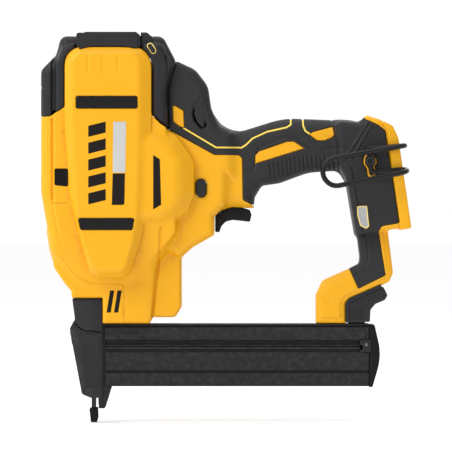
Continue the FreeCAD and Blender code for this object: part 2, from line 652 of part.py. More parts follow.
def roller_arm():
    side = [(ARM_PIVOT[0] - 4, ARM_PIVOT[1] - 4, 3), (ARM_PIVOT[0] + 4, ARM_PIVOT[1] - 4, 3),
            (ROLLER_X + 3.5, FLYWHEEL_Z, 3), (ROLLER_X, FLYWHEEL_Z + 5, 3), (-14, FLYWHEEL_Z + 3, 2)]
    cheeks = both_sides(side, 8.6, 11.4)
    bridge = box((-17, -12), (-8.6, 8.6), (ARM_PIVOT[1] + 6, FLYWHEEL_Z - 2))
    tube = cross_cylinder(ARM_PIVOT, 3.5, -19.7, 19.7)
    body = fuse(cheeks.Solids + [bridge, tube])
    body = body.cut(cross_cylinder((ROLLER_X, FLYWHEEL_Z), 2.5, -20, 20))
    return body.cut(cross_cylinder(ARM_PIVOT, 2.05, -40, 40))


def roller_arm_pin():
    return cross_cylinder(ARM_PIVOT, 2.0, -23.0, 23.0)


def roller_pin():
    return cross_cylinder((ROLLER_X, FLYWHEEL_Z), 2.5, -11.4, 11.4)


def pinch_roller():
    return ring((ROLLER_X, FLYWHEEL_Z), ROLLER_R, 2.56, -8.2, 8.2)


def solenoid():
    z = SOLENOID_Z
    body = Part.makeCylinder(9.5, 17, Vector(-37.5, 0, z), Vector(1, 0, 0))
    frame = box((-38.2, -37.2), (-12, 12), (z - 12, z + 12))
    plunger = Part.makeCylinder(3.0, 5.2, Vector(-20.4, 0, z - 4), Vector(1, 0, 0))
    return Part.makeCompound([fuse([body, frame]), plunger])


# ---- magazine ----
def magazine_body():
    """Fixed upper channel, an upside-down U with side ribs."""
    x0, x1 = MAG_X
    z0, z1 = MAG_SPLIT_Z + GAP, MAG_Z[1]
    outer = box((x0, x1), (-11.2, 11.2), (z0, z1))
    band = box((x0, x1), (-MAG_HALF, MAG_HALF), (66, z1 - 1.2))
    channel = box((x0 - 1, x1 + 1), (-STAPLE_SLOT_HALF, STAPLE_SLOT_HALF), (z0 - 1, 74))
    recess = both_sides([(x0 - 1, z0 - 1), (x1 + 1, z0 - 1), (x1 + 1, 64.6), (x0 - 1, 64.6)], 9.8, 20)
    pocket = box((x0 + 6, x1 - 14), (6.2, 9.6), (z0 - 1, 75.6))
    body = fuse([outer, band]).cut(channel).cut(recess).cut(pocket).cut(mirror(pocket))
    holes = cross_cylinder(END_SCREW, 1.7, -30, 30)
    return body.cut(holes).removeSplitter()


def magazine_slide():
    """Lower channel with the core rail that the staples straddle."""
    x0, x1 = MAG_X
    z0, z1 = MAG_Z[0], MAG_SPLIT_Z
    outer = box((x0 + 3, x1), (-MAG_HALF, MAG_HALF), (z0, z1 - 4))
    upper = box((x0 + 3, x1), (-10.6, 10.6), (z0, z1))
    rib = box((x0 + 3, x1), (-12.2, 12.2), (z1 - 2.8, z1))
    body = fuse([outer, upper, rib])
    slots = [box((x0 - 1, x1 + 1), (low, low + STAPLE_SLOT_HALF - CORE_HALF), (z0 + 2.5, z1 + 1))
             for low in (CORE_HALF, -STAPLE_SLOT_HALF)]
    pockets = [box((x0 + 9, x1 - 9), (low, low + 3.6), (z0 + 2.5, z1 + 1)) for low in (6.0, -9.6)]
    core = box((x0, x1), (-CORE_HALF, CORE_HALF), (z0 + 2.5, 69.6))
    groove = box((x0, x1 + 1), (11.3, 14), (40.0, 42.2))
    body = body.cut(Part.makeCompound(slots + pockets + [groove, mirror(groove)]))
    return fuse([body, core])


def magazine_end_cap():
    x0 = MAG_X[1] + 0.4
    shape = [(x0, 28), (x0 + 2.4, 28, 1), (227.6, 53, 45), (221.8, 77.4, 1.5), (x0, 77.4)]
    return soften(prism(shape, -MAG_HALF - 0.6, MAG_HALF + 0.6), MAG_HALF + 0.6, 1)


def magazine_screws():
    shapes = []
    for side in (-1, 1):
        low, high = sorted((side * 12.9, side * 6.5))
        shapes.append(cross_cylinder(END_SCREW, 1.65, low, high))
        low, high = sorted((side * 12.55, side * 13.6))
        shapes[-1] = shapes[-1].fuse(cross_cylinder(END_SCREW, 2.8, low, high))
    return Part.makeCompound(shapes)


def pusher():
    top = box((12, 40), (-3.9, 3.9), (69.9, 71.2))
    legs = [box((12, 40), (low, low + 1.2), (33, 71.2)) for low in (2.7, -3.9)]
    return fuse([top] + legs)


def pusher_spring():
    """Roll of flat spring strip at the back of the pusher, on top of its core."""
    return ring((44.0, 72.0), 1.8, 0.9, -2.3, 2.3)


def magazine_latch():
    shape = [(200.8, 79.0, 1), (200.1, 92.3, 2), (202.6, 95.5, 1), (228.6, 107.6, 1.5),
             (232.2, 100.5, 2.5), (230, 96.8, 1.5), (222.5, 93.6, 3), (218.6, 89, 4), (218.2, 79.6, 1)]
    body = prism(shape, -13.0, 13.0)
    body = body.cut(box((199, 216), (-9.2, 9.2), (70, 92)))
    return body.cut(cross_cylinder(MAG_LATCH_PIVOT, PIN_R + PIN_FIT, -20, 20))


def magazine_latch_pin():
    return cross_cylinder(MAG_LATCH_PIVOT, PIN_R, -12.6, 12.6)


def latch_bracket():
    """Ears on the magazine that carry the latch pin."""
    base = box((201.5, 214.4), (-9, 9), (78.0, 79.4))
    ears = both_sides([(206, 79.4), (214.4, 79.4), (214.8, 88.8, 2.7), (209.2, 88.8, 2.7)], 6.4, 9)
    return fuse([base] + ears.Solids).cut(cross_cylinder(MAG_LATCH_PIVOT, PIN_R, -20, 20))


def magazine_latch_spring():
    return coil(203.5, 0, 79.6, 91.9, 2.6, 0.4, 5)


# ---- battery foot ----
def battery_terminal_block():
    body = prism([(236.6, 214, 1), (228, 214), (234, 163), (243.6, 163, 1)], -21.7, 21.7)
    slots = [box((225, 250), (low, low + 1.4), (160, 205)) for low in (-14.7, -5.7, 4.3, 13.3)]
    return body.cut(Part.makeCompound(slots)).removeSplitter()


def battery_terminals():
    shapes = []
    for low in (-14.4, -5.4, 4.6, 13.6):
        shapes.append(prism([(232.6, 200), (237.5, 200, 1), (241, 170, 1), (236.2, 170)], low, low + 0.8))
    return Part.makeCompound(shapes)


def controller_board():
    board = box((212.0, 213.6), (-9, 9), (160, 198))
    parts = [box((213.6, 218), (-6, -1), (174, 184)), box((213.6, 216), (1, 6), (168, 190)),
             box((213.6, 219), (-8, 8), (160, 166))]
    return fuse([board] + parts)


def led_lamps():
    lens = [(-29.6, 187.2, 1), (-19.5, 186.5, 1), (-19.5, 200, 1), (-29.6, 200, 1)]
    return both_sides(lens, 30.7, 32.8)


def hook_corners():
    """Centre line of the belt hook, in front of the left side of the foot."""
    near = -RAIL_HALF - HOOK_WIRE_R - 0.6
    far = near - 13.0
    return [(214.5, near, 215.2, 0), (244.8, near, 218.3, 5.5), (243.8, far, 217.9, 6),
            (183.0, far, 207.1, 11), (178.7, far, 195.2, 11), (187.0, far, 185.6, 11),
            (245.3, far, 197.4, 6), (246.6, near, 199.8, 5.5), (219, near, 197.4, 0)]


def belt_hook():
    wire = bent_wire(hook_corners(), HOOK_WIRE_R)
    strap = prism([(212.2, 216.8, 2), (216.6, 217.8, 2), (219.2, 210.6, 1), (221.6, 208.4, 2.5),
                   (221.6, 203.8, 2.5), (219.8, 201.6, 1), (221.4, 195.2, 1.5), (217.4, 194.4, 1.5),
                   (216.0, 201.2, 1), (213.7, 203.8, 2.5), (213.7, 208.4, 2.5), (215.4, 210.6, 1)],
                  -RAIL_HALF - HOOK_WIRE_R - 0.6, -FOOT_HALF - 0.1)
    hole = cross_cylinder(HOOK_SCREW, 2.2, -60, 0)
    return fuse([wire, strap]).cut(hole)


def belt_hook_screw():
    face = -RAIL_HALF - HOOK_WIRE_R - 0.7
    head = cross_cylinder(HOOK_SCREW, 3.6, face - 2.8, face)
    shank = cross_cylinder(HOOK_SCREW, 1.95, face, -FOOT_HALF + HOOK_HOLE_DEPTH - 0.5)
    socket = cross_cylinder(HOOK_SCREW, 1.8, face - 3, face - 1.2)
    return fuse([head, shank]).cut(socket)


def build():
    return {
        "housing_left": housing_half(False),
        "housing_right": housing_half(True),
        "grip_overmold_left": grip_overmold(False),
        "grip_overmold_right": grip_overmold(True),
        "top_cap": top_cap(),
        "bumper_strips": bumper_strips(),
        "housing_screws": housing_screws(),
        "stall_lever": stall_lever(),
        "stall_lever_pin": stall_lever_pin(),
        "trigger": trigger(),
        "trigger_pin": trigger_pin(),
        "trigger_spring": trigger_spring(),
        "trigger_switch": trigger_switch(),
        "lock_off_button": lock_off_button(),
        "depth_wheel": depth_wheel(),
        "depth_screw": depth_screw(),
        "nosepiece": nosepiece(),
        "nose_shroud": nose_shroud(),
        "nose_door": nose_door(),
        "nose_door_pin": nose_door_pin(),
        "jam_latch": jam_latch(),
        "jam_latch_pin": jam_latch_pin(),
        "contact_trip": contact_trip(),
        "no_mar_pad": no_mar_pad(),
        "contact_trip_spring": contact_trip_spring(),
        "driver_carriage": driver_carriage(),
        "driver_blade": driver_blade(),
        "guide_rods": guide_rods(),
        "return_springs": return_springs(),
        "lower_bumper": lower_bumper(),
        "upper_bumper": upper_bumper(),
        "frame_plate_left": frame_plate(False),
        "frame_plate_right": frame_plate(True),
        "frame_spacers": frame_spacers(),
        "flywheel": flywheel(),
        "stator": stator(),
        "coil_windings": coil_windings(),
        "motor_axle": motor_axle(),
        "motor_bearings": motor_bearings(),
        "roller_arm": roller_arm(),
        "roller_arm_pin": roller_arm_pin(),
        "roller_pin": roller_pin(),
        "pinch_roller": pinch_roller(),
        "solenoid": solenoid(),
        "magazine_body": magazine_body(),
        "magazine_slide": magazine_slide(),
        "magazine_end_cap": magazine_end_cap(),
        "magazine_screws": magazine_screws(),
        "pusher": pusher(),
        "pusher_spring": pusher_spring(),
        "magazine_latch": magazine_latch(),
        "magazine_latch_pin": magazine_latch_pin(),
        "magazine_latch_spring": magazine_latch_spring(),
        "latch_bracket": latch_bracket(),
        "battery_terminal_block": battery_terminal_block(),
        "battery_terminals": battery_terminals(),
        "controller_board": controller_board(),
        "led_lamps": led_lamps(),
        "belt_hook": belt_hook(),
        "belt_hook_screw": belt_hook_screw(),
    }


# ---- files ----
os.makedirs("parts", exist_ok=True)
for node, shape in build().items():
    shape.exportStep("parts/" + node + ".step")
    print(node, len(shape.Solids), round(shape.Volume), shape.isValid())
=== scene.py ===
"""Looks of a cordless narrow-crown stapler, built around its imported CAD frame.

Lengths in the shape code are in millimetres; meshes are made in metres.
"""
import json
import math

import bmesh
import bpy
import numpy as np
import openvdb
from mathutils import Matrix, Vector


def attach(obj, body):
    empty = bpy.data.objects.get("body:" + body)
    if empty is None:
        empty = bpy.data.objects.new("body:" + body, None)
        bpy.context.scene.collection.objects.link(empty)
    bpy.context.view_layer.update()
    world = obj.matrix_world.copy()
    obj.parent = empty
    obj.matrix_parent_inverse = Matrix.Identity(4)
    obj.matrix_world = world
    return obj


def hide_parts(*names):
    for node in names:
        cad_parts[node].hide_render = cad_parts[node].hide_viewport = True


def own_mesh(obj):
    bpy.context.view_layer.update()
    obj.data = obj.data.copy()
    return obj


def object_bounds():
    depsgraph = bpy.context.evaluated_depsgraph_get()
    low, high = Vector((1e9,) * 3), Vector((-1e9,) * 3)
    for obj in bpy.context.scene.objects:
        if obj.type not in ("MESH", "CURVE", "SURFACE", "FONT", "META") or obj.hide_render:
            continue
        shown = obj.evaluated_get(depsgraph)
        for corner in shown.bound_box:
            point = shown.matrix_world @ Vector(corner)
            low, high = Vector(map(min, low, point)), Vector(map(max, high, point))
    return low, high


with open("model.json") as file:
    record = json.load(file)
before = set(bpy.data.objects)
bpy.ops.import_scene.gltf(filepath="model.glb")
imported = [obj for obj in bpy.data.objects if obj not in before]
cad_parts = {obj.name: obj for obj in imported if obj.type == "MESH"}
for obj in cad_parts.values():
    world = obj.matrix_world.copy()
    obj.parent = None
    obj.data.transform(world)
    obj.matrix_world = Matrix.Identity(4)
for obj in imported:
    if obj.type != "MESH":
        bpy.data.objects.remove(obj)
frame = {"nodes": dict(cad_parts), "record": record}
CAD_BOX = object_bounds()
NODES = frame["nodes"]
SLOT_OF = {part["node"]: part["material_slot"] for part in frame["record"]["subparts"]}
MM = 0.001
CELL = 0.5       # grid step of the moulded shells
SEAM = 0.06                             # each half stops this far from the middle plane
SKIN = 1.6                              # soft grip layer
WALL = 2.5                              # housing wall
PANEL_TOP = 41                          # half-width of the tool at its raised side panel
CAP_HALF = 29.0                         # half-width of the cap between its columns
COLUMN_HALF = 33                        # half-width of the cap's columns
MAGAZINE_HALF = 12.5
MAGAZINE_END = 217.5

# ---- side outlines: corners (x, z, corner radius), as in the CAD part ----
HEAD = [(-41.0, 182, 30), (-41.0, 277.5, 6), (-29.5, 289.5, 5), (-25, 304.5, 6), (55, 304.5, 7),
        (65.5, 284.5, 8), (58.5, 262, 20), (59, 236, 5), (68, 150, 15), (45, 118, 15),
        (15, 109.5, 15), (-8, 109.5, 15), (-33, 134, 12)]
WING = [(-31.3, 171, 20), (-31.3, 283, 4), (-24, 299.5, 6), (53.5, 299.5, 6), (62, 284.5, 8),
        (57, 262, 20), (57.5, 236, 5), (66, 150, 15), (44, 119, 15), (15, 112, 15), (-8, 112, 15),
        (-25.3, 137, 10)]
PANEL = [(-22, 295.5, 16), (46, 295.5, 17), (46, 235, 60), (42, 175, 60), (38, 145, 25),
         (28, 114.5, 12), (-1, 114.5, 12), (-11, 148, 40), (-18, 178, 60), (-22, 235, 60)]
PANEL_FACE = [(-16, 290, 8), (36.5, 290, 8), (36.5, 235, 50), (35, 164, 50), (31.5, 144, 12),
              (25, 120, 8), (1, 120, 8), (-8, 144, 30), (-12, 165, 60), (-16, 235, 60)]
MOTOR = [(30, 154, 0), (58, 154, 14), (74, 166, 10), (79.5, 180, 14), (79.5, 206, 16),
         (66, 226, 14), (50, 234, 4), (30, 236, 0)]
MOTOR_FACE = [(30, 162.5, 0), (51.5, 162.5, 6), (62, 168.5, 8), (67, 178, 8), (67, 205, 8),
              (60, 215.5, 8), (50, 222.5, 6), (30, 224.5, 0)]
NOSE_FRONT = [(-35, 150, 0), (-31, 122, 12), (-22, 109, 5), (-17.5, 104, 3), (-17, 98.5, 0.5),
              (7.3, 98.5, 0.5), (7.3, 78.4, 0.8), (44.4, 78.4, 1.5), (46.4, 82, 1), (49.5, 130, 6),
              (50, 160, 0)]
NOSE_REAR = [(30, 83.2, 0), (64.5, 83.2, 3.5), (69.5, 91, 3.5), (69.5, 127, 3), (66, 160, 0),
             (30, 160, 0)]
WAIST = [(50, 140, 0), (68.5, 129.5, 3), (78, 138, 6), (95.5, 148, 3), (95.5, 163, 1.5),
         (104, 172, 3), (106, 225, 3), (80, 235, 5), (50, 238, 0)]
HUMP = [(56, 232, 5), (56, 280, 4), (61.5, 284.8, 2), (66.5, 285, 3), (80.5, 278.5, 14),
        (90.5, 265.5, 18), (93, 248, 14), (99, 234, 6), (110, 228, 2), (110, 195, 2), (62, 195, 2)]
GRIP = [(84, 215, 2), (92, 240, 4), (107, 229.5, 14), (118, 230.5, 30), (150, 240.5, 60),
        (203, 238.5, 30), (222, 232, 4), (222, 180, 4), (201, 190, 6), (194, 199, 10),
        (170, 197.5, 40), (147, 189, 20), (133, 187, 5), (127.5, 178, 4), (126.5, 168.5, 1.2),
        (101.5, 170, 2), (88, 166, 2)]
FOOT = [(190, 238, 4), (209, 236.5, 3), (215, 242.5, 2.5), (226, 239, 4), (236, 232, 3),
        (246, 153.5, 2), (226, 151.5, 2), (207, 147, 2), (200, 189, 6), (194, 202, 4)]
RAIL = [(226, 238.5, 1), (235.5, 234, 5), (240, 224, 8), (250.2, 153.5, 1.5), (241.5, 152, 1),
        (231, 229, 3)]
NECK = [(207, 158, 1), (231.6, 158, 1), (236.7, 118, 7), (233.5, 111, 3),
        (202, 97, 2), (199.3, 94, 2), (199.3, 78.3, 1.2), (175.7, 78.3, 1.2), (175.7, 101, 3),
        (181, 112, 6), (202, 121.5, 3), (210, 125.5, 3), (210.5, 131, 5)]
CAP_ZONE = [(-60, 240.6), (-33.5, 241.6, 3), (-22.3, 248.6, 3), (-22.3, 295.9, 14), (46.3, 295.9, 15),
            (46.3, 242.6, 5), (53, 235.8, 4), (62, 229.8), (62, 240), (60.6, 250), (62.2, 266),
            (67, 280), (73, 286), (73, 330), (-60, 330)]
CAP_FRONT = [(-29.6, 240, 2), (-29.6, 282.5, 5), (-22.5, 298, 7), (-13.2, 299, 2), (-13.2, 292, 1),
             (-19, 286, 4), (-19, 240, 2)]
CAP_COLUMN = [(45.6, 243, 4), (52.5, 236.5, 3), (59, 232.5, 2), (57.6, 262, 20), (61.5, 281, 6),
              (55, 299.2, 6), (37.9, 299.2, 2), (37.9, 289), (45.6, 279)]
CAP_LIP = [(37.6, 300), (37.6, 307.4, 0.5), (42.5, 307.4, 2.5), (47, 303.5, 1), (47, 300)]
DARK_ZONE = [(57.8, 231.9), (95.5, 211.1, 3), (117.3, 211.1, 4), (117.8, 175.6, 3), (126, 171.8),
             (138, 160), (200, 160), (198, 130), (202.2, 120.8), (209, 105.7), (230.6, 116.2, 1.5),
             (225, 150.5), (226.5, 155, 2), (241, 157.5, 1.5), (230, 230, 4), (224.5, 234.5, 2),
             (214, 239.3), (210, 250), (210, 320), (57.8, 320)]
# Yellow parts of the core that show through openings of the soft layer.
TAG = [(62.6, 249.7, 1), (64.2, 250, 1), (71.2, 246, 1), (71.8, 232.4, 0.5), (68, 233.6, 2),
       (63, 237.5, 2)]
LOWER_INLAY = [(127.7, 204.4), (127.7, 210.8, 1), (131, 214.2, 1), (153, 221.8, 2), (158.3, 221.8, 2),
               (166.4, 216.4)]
UPPER_INLAY = [(172.4, 229.2, 1), (188.8, 233.6, 1), (190, 227.4, 1), (188.8, 225.2, 1),
               (182.7, 222.6, 2), (176.5, 222.6, 1.5), (170.6, 227, 1)]
ACCENT_LINE = [(71.3, 232.2), (96.7, 217), (117, 217), (120.3, 219.2), (125.5, 224.3), (137, 229.6),
               (152.2, 233), (155.6, 235.2), (156, 243)]
SHORT_LINE = [(165.2, 243), (165.4, 234.6), (167, 230.3), (171.5, 227.2)]
PARTING_LINE = [(-33.5, 134), (-25.6, 133), (-20, 124), (-15, 117.8), (-11.5, 115), (-6.8, 112),
                (-0.5, 109.7), (19, 109.7), (23, 109.2), (24.7, 107), (25, 79)]
STRIPS = [[(-12.5, 247.5, 1), (35, 247.5, 1), (35, 256.5, 1), (-12.5, 256.5, 1)],
          [(-9, 152.5, 1), (31, 152.5, 1), (32.5, 161, 1), (-11, 161, 1)]]
BUTTON_HOLE = [(80.8, 177.8, 4.1), (89.2, 177.8, 4.1), (89.2, 192.2, 4.1), (80.8, 192.2, 4.1)]
# Window in the soft layer around the belt hook's plate, on the left side.
KEYHOLE = [(213.9, 211.2, 0.5), (212.4, 207.6, 2.5), (212.4, 203.9, 2.5), (214.9, 200.6, 1), (215.8, 194.2, 1),
           (217.6, 193.2, 1), (222.4, 195.2, 1), (222.3, 199.8, 0.5), (221.4, 202.0, 0.5),
           (223.1, 204.3, 2.5), (223.1, 207.6, 2.5), (220.2, 211.2, 0.5)]
LEVER_LIP = [(-9.6, 293.9, 1), (-12.8, 297.0, 2), (-12.8, 306.8, 2), (35.2, 306.8, 2), (35.2, 294.2, 1.5),
             (28, 295.5, 20), (12, 296.8, 40), (-3, 295.7, 20)]
TERMINAL_WINDOW = [(227.7, 214.3), (238, 214.3), (246, 162.7), (233.7, 162.7)]
RAIL_RECESS = [(234.5, 224), (250, 224), (262, 146), (245.6, 146)]
RAIL_GROOVE = [(234.5, 224), (237.0, 224), (248.1, 146), (245.6, 146)]
SCREWS = [(-26.6, 228.0, 33), (-24.0, 163.0, 33), (55.5, 144.5, 33), (30.0, 96.0, 20), (80.0, 262.0, 23),
          (91.0, 222.0, 23), (142.0, 220.0, 17), (192.0, 222.0, 17), (222.0, 222.0, 29.5),
          (225.5, 166.0, 29.5), (222.0, 122.0, 14), (187.5, 95.0, 14)]
HOOK_SCREW = (217.5, 206.0)


TRIGGER_GAP = ((94, 126), 7.6, (145, 176))


def placed(name, data):
    """A new object with this data, in the scene."""
    obj = bpy.data.objects.new(name, data)
    bpy.context.scene.collection.objects.link(obj)
    return obj


# ---- outlines and distance fields ----
def rounded(corners, steps=7):
    """The outline's points, with an arc at each corner that has a radius."""
    points = []
    for i, corner in enumerate(corners):
        here = np.array(corner[:2], float)
        radius = corner[2] if len(corner) > 2 else 0
        if radius == 0:
            points.append(here)
            continue
        back = np.array(corners[i - 1][:2]) - here
        ahead = np.array(corners[(i + 1) % len(corners)][:2]) - here
        room = 0.48 * min(np.linalg.norm(back), np.linalg.norm(ahead))
        back = back / np.linalg.norm(back)
        ahead = ahead / np.linalg.norm(ahead)
        half = math.acos(np.clip(back @ ahead, -1, 1)) / 2
        run = min(radius / math.tan(half), room)
        radius = run * math.tan(half)
        bisector = (back + ahead) / np.linalg.norm(back + ahead)
        centre = here + bisector * radius / math.sin(half)
        first = here + back * run - centre
        last = here + ahead * run - centre
        start = math.atan2(first[1], first[0])
        turn = (math.atan2(last[1], last[0]) - start + math.pi) % (2 * math.pi) - math.pi
        for t in np.linspace(0, 1, steps):
            angle = start + turn * t
            points.append(centre + radius * np.array([math.cos(angle), math.sin(angle)]))
    return np.array(points)


class Grid:
    """A box of space, in millimetres, that distance fields are sampled on."""

    def __init__(self, x, y, z, cell):
        self.cell = cell
        self.low = (x[0], y[0], z[0])
        self.x = np.arange(x[0], x[1] + cell / 2, cell, dtype=np.float32)
        self.y = np.arange(y[0], y[1] + cell / 2, cell, dtype=np.float32)
        self.z = np.arange(z[0], z[1] + cell / 2, cell, dtype=np.float32)
        self.side_x, self.side_z = np.meshgrid(self.x, self.z, indexing="ij")
        self.wide = np.abs(self.y)[None, :, None]
        self.across = self.y[None, :, None]

    def to_line(self, points, closed=False):
        """Distance in the side view to a run of straight pieces, and which points it encloses."""
        nearest = np.full(self.side_x.shape, 1e9, np.float32)
        inside = np.zeros(self.side_x.shape, bool)
        points = np.asarray(points, np.float32)
        ends = np.roll(points, -1, 0) if closed else points[1:]
        for p, q in zip(points, ends):
            step = q - p
            size = float(step @ step)
            if size < 1e-9:
                continue
            off_x = self.side_x - p[0]
            off_z = self.side_z - p[1]
            t = np.clip((off_x * step[0] + off_z * step[1]) / size, 0, 1)
            nearest = np.minimum(nearest, (off_x - step[0] * t) ** 2 + (off_z - step[1] * t) ** 2)
            if closed and q[1] != p[1]:
                crosses = (p[1] > self.side_z) != (q[1] > self.side_z)
                inside ^= crosses & (off_x < off_z * step[0] / step[1])
        return np.sqrt(nearest), inside

    def flat(self, corners):
        """Distance to a rounded outline in the side view, negative inside."""
        distance, inside = self.to_line(rounded(corners), True)
        return np.where(inside, -distance, distance)[:, None, :]

    def near(self, points):
        return self.to_line(points)[0][:, None, :]

    def block(self, corners, half_width, edge):
        """Extruded outline whose rims at both sides have a round edge."""
        return self.swept(self.flat(corners), half_width, edge)

    def swept(self, side, half_width, edge):
        a = side + edge
        b = self.wide - (half_width - edge)
        return np.minimum(np.maximum(a, b), 0) + np.hypot(np.maximum(a, 0), np.maximum(b, 0)) - edge

    def bevelled(self, outer, low, inner, high, slope, edge):
        """Outline that narrows from outer to inner between two half-widths."""
        t = np.clip((self.wide - low) / (high - low), 0, 1)
        side = self.flat(outer) * (1 - t) + self.flat(inner) * t
        side = side * np.where(t > 0, slope, 1.0).astype(np.float32)
        return meet(side, self.wide - high, edge)

    def box(self, x, half_width, z):
        side_x = np.abs(self.side_x - (x[0] + x[1]) / 2) - (x[1] - x[0]) / 2
        side_z = np.abs(self.side_z - (z[0] + z[1]) / 2) - (z[1] - z[0]) / 2
        return np.maximum(np.maximum(side_x, side_z)[:, None, :], self.wide - half_width)

    def disc(self, centre, radius):
        return (np.hypot(self.side_x - centre[0], self.side_z - centre[1]) - radius)[:, None, :]

    def mesh(self, name, field, mirrored=False, adaptivity=0.0):
        """Closed surface at zero of the field, with smooth normals taken from the field's slope."""
        band = 3 * self.cell
        grid = openvdb.FloatGrid(band)
        grid.copyFromArray(np.ascontiguousarray(np.clip(field, -band, band), np.float32))
        points, triangles, quads = grid.convertToPolygons(isovalue=0.0, adaptivity=adaptivity)
        normals = slope_at(field, points)
        spots = points * self.cell + np.array(self.low, np.float32)
        if mirrored:
            spots[:, 1] *= -1
            normals[:, 1] *= -1
            triangles = triangles[:, ::-1]
            quads = quads[:, ::-1]
        mesh = bpy.data.meshes.new(name)
        mesh.from_pydata((spots * MM).tolist(), [], triangles.tolist() + quads.tolist())
        mesh.polygons.foreach_set("use_smooth", [True] * len(mesh.polygons))
        mesh.normals_split_custom_set_from_vertices(normals.tolist())
        mesh.update()
        return placed(name, mesh)


def slope_at(field, points):
    """Unit direction in which the field grows at each point, given in grid steps."""
    shape = np.array(field.shape)
    slopes = np.zeros((len(points), 3), np.float32)

    def sample(at):
        at = np.clip(at, 0, shape - 1.001)
        cell = at.astype(int)
        part = at - cell
        total = 0
        for corner in np.ndindex(2, 2, 2):
            share = np.prod(np.where(corner, part, 1 - part), axis=1)
            i, j, k = (cell + corner).T
            total = total + share * field[i, j, k]
        return total

    reach = 0.6
    for axis in range(3):
        step = np.zeros(3)
        step[axis] = reach
        slopes[:, axis] = sample(points + step) - sample(points - step)
    size = np.linalg.norm(slopes, axis=1, keepdims=True)
    return slopes / np.maximum(size, 1e-9)


def join(a, b, blend=0.0):
    """Union of two fields, filleted where they meet."""
    if blend == 0:
        return np.minimum(a, b)
    h = np.maximum(blend - np.abs(a - b), 0) / blend
    return np.minimum(a, b) - h * h * blend * 0.25


def meet(a, b, blend=0.0):
    """Overlap of two fields, rounded where they meet."""
    return -join(-a, -b, blend)


def carve(a, b, blend=0.0):
    return meet(a, -b, blend)


def ramp(value, low, high):
    """Smooth rise from 0 to 1 between low and high."""
    t = np.clip((value - low) / (high - low), 0, 1)
    return t * t * (3 - 2 * t)


def sunk(field, distance, depth, low, high):
    """Surface lowered by depth where distance is under low, and not at all past high."""
    return field + depth * (1 - ramp(distance, low, high))


# ---- materials ----
def linear(red, green, blue):
    """A display colour in 0 to 255 as linear light."""
    return tuple(((c / 255 + 0.055) / 1.055) ** 2.4 if c > 10 else c / 255 / 12.92
                 for c in (red, green, blue)) + (1.0,)


def tinted(colour, factor, lift=0.0):
    """The colour made lighter or darker."""
    return tuple(min(1.0, c * factor + lift) for c in colour[:3]) + (1.0,)


class Shader:
    """One Principled material and short ways to add nodes to it."""

    def __init__(self, name):
        self.material = bpy.data.materials.new(name)
        self.material.use_nodes = True
        self.tree = self.material.node_tree
        self.surface = self.tree.nodes["Principled BSDF"]
        self.coordinates = self.add("ShaderNodeTexCoord").outputs["Object"]

    def add(self, kind, **settings):
        node = self.tree.nodes.new(kind)
        for key, value in settings.items():
            setattr(node, key, value)
        return node

    def link(self, source, target):
        self.tree.links.new(source, target)

    def math(self, operation, *values):
        node = self.add("ShaderNodeMath", operation=operation)
        for socket, value in zip(node.inputs, values):
            if isinstance(value, (int, float)):
                socket.default_value = value
            else:
                self.link(value, socket)
        return node.outputs[0]

    def stretched(self, scale):
        node = self.add("ShaderNodeMapping")
        node.inputs["Scale"].default_value = scale
        self.link(self.coordinates, node.inputs["Vector"])
        return node.outputs["Vector"]

    def noise(self, size, detail=3.0, scale=(1, 1, 1), rough=0.5):
        """Noise whose blotches are about this many millimetres."""
        node = self.add("ShaderNodeTexNoise")
        node.inputs["Scale"].default_value = 1 / (size * MM)
        node.inputs["Detail"].default_value = detail
        node.inputs["Roughness"].default_value = rough
        self.link(self.stretched(scale), node.inputs["Vector"])
        return node.outputs["Fac"]

    def cells(self, size, scale=(1, 1, 1)):
        node = self.add("ShaderNodeTexVoronoi", feature="SMOOTH_F1")
        node.inputs["Scale"].default_value = 1 / (size * MM)
        self.link(self.stretched(scale), node.inputs["Vector"])
        return node.outputs["Distance"]

    def rescale(self, fac, low, high, to_low=0, to_high=1):
        node = self.add("ShaderNodeMapRange")
        self.link(fac, node.inputs["Value"])
        node.inputs["From Min"].default_value = low
        node.inputs["From Max"].default_value = high
        node.inputs["To Min"].default_value = to_low
        node.inputs["To Max"].default_value = to_high
        return node.outputs["Result"]

    def mix(self, fac, a, b):
        node = self.add("ShaderNodeMix", data_type="RGBA")
        for key, value in (("Factor", fac), ("A", a), ("B", b)):
            kind = "VALUE" if key == "Factor" else "RGBA"
            socket = next(s for s in node.inputs if s.name == key and s.type == kind)
            if isinstance(value, (tuple, float)):
                socket.default_value = value
            else:
                self.link(value, socket)
        return next(s for s in node.outputs if s.type == "RGBA")

    def edges(self, low=0.5, high=0.62):
        """One on sharp outer edges, none on flats."""
        node = self.add("ShaderNodeNewGeometry")
        return self.rescale(node.outputs["Pointiness"], low, high)

    def painted_shade_mask(self):
        """Mask for painted shade: one in inner corners and grooves, none on flats."""
        node = self.add("ShaderNodeNewGeometry")
        return self.rescale(node.outputs["Pointiness"], 0.44, 0.492, 1, 0)

    def layered(self, base, share, strength, colour):
        """Base with another colour over it where share is high."""
        return self.mix(self.math("MULTIPLY", share, strength), base, colour)

    def bump(self, height, depth, below=None):
        """Relief with this depth in millimetres."""
        node = self.add("ShaderNodeBump")
        node.inputs["Distance"].default_value = depth * MM
        self.link(height, node.inputs["Height"])
        if below is not None:
            self.link(below, node.inputs["Normal"])
        return node.outputs["Normal"]

    def finish(self, colour, roughness, normal):
        self.link(colour, self.surface.inputs["Base Color"])
        self.link(roughness, self.surface.inputs["Roughness"])
        self.link(normal, self.surface.inputs["Normal"])
        return self.material


# Painted shade: inner corners and grooves get a darker colour, found by pointiness.
PAINTED_SHADE_STRENGTH = 0.85       # how much of the darker colour shows in inner corners
SATIN = 0.22        # specular level of plastic and rubber


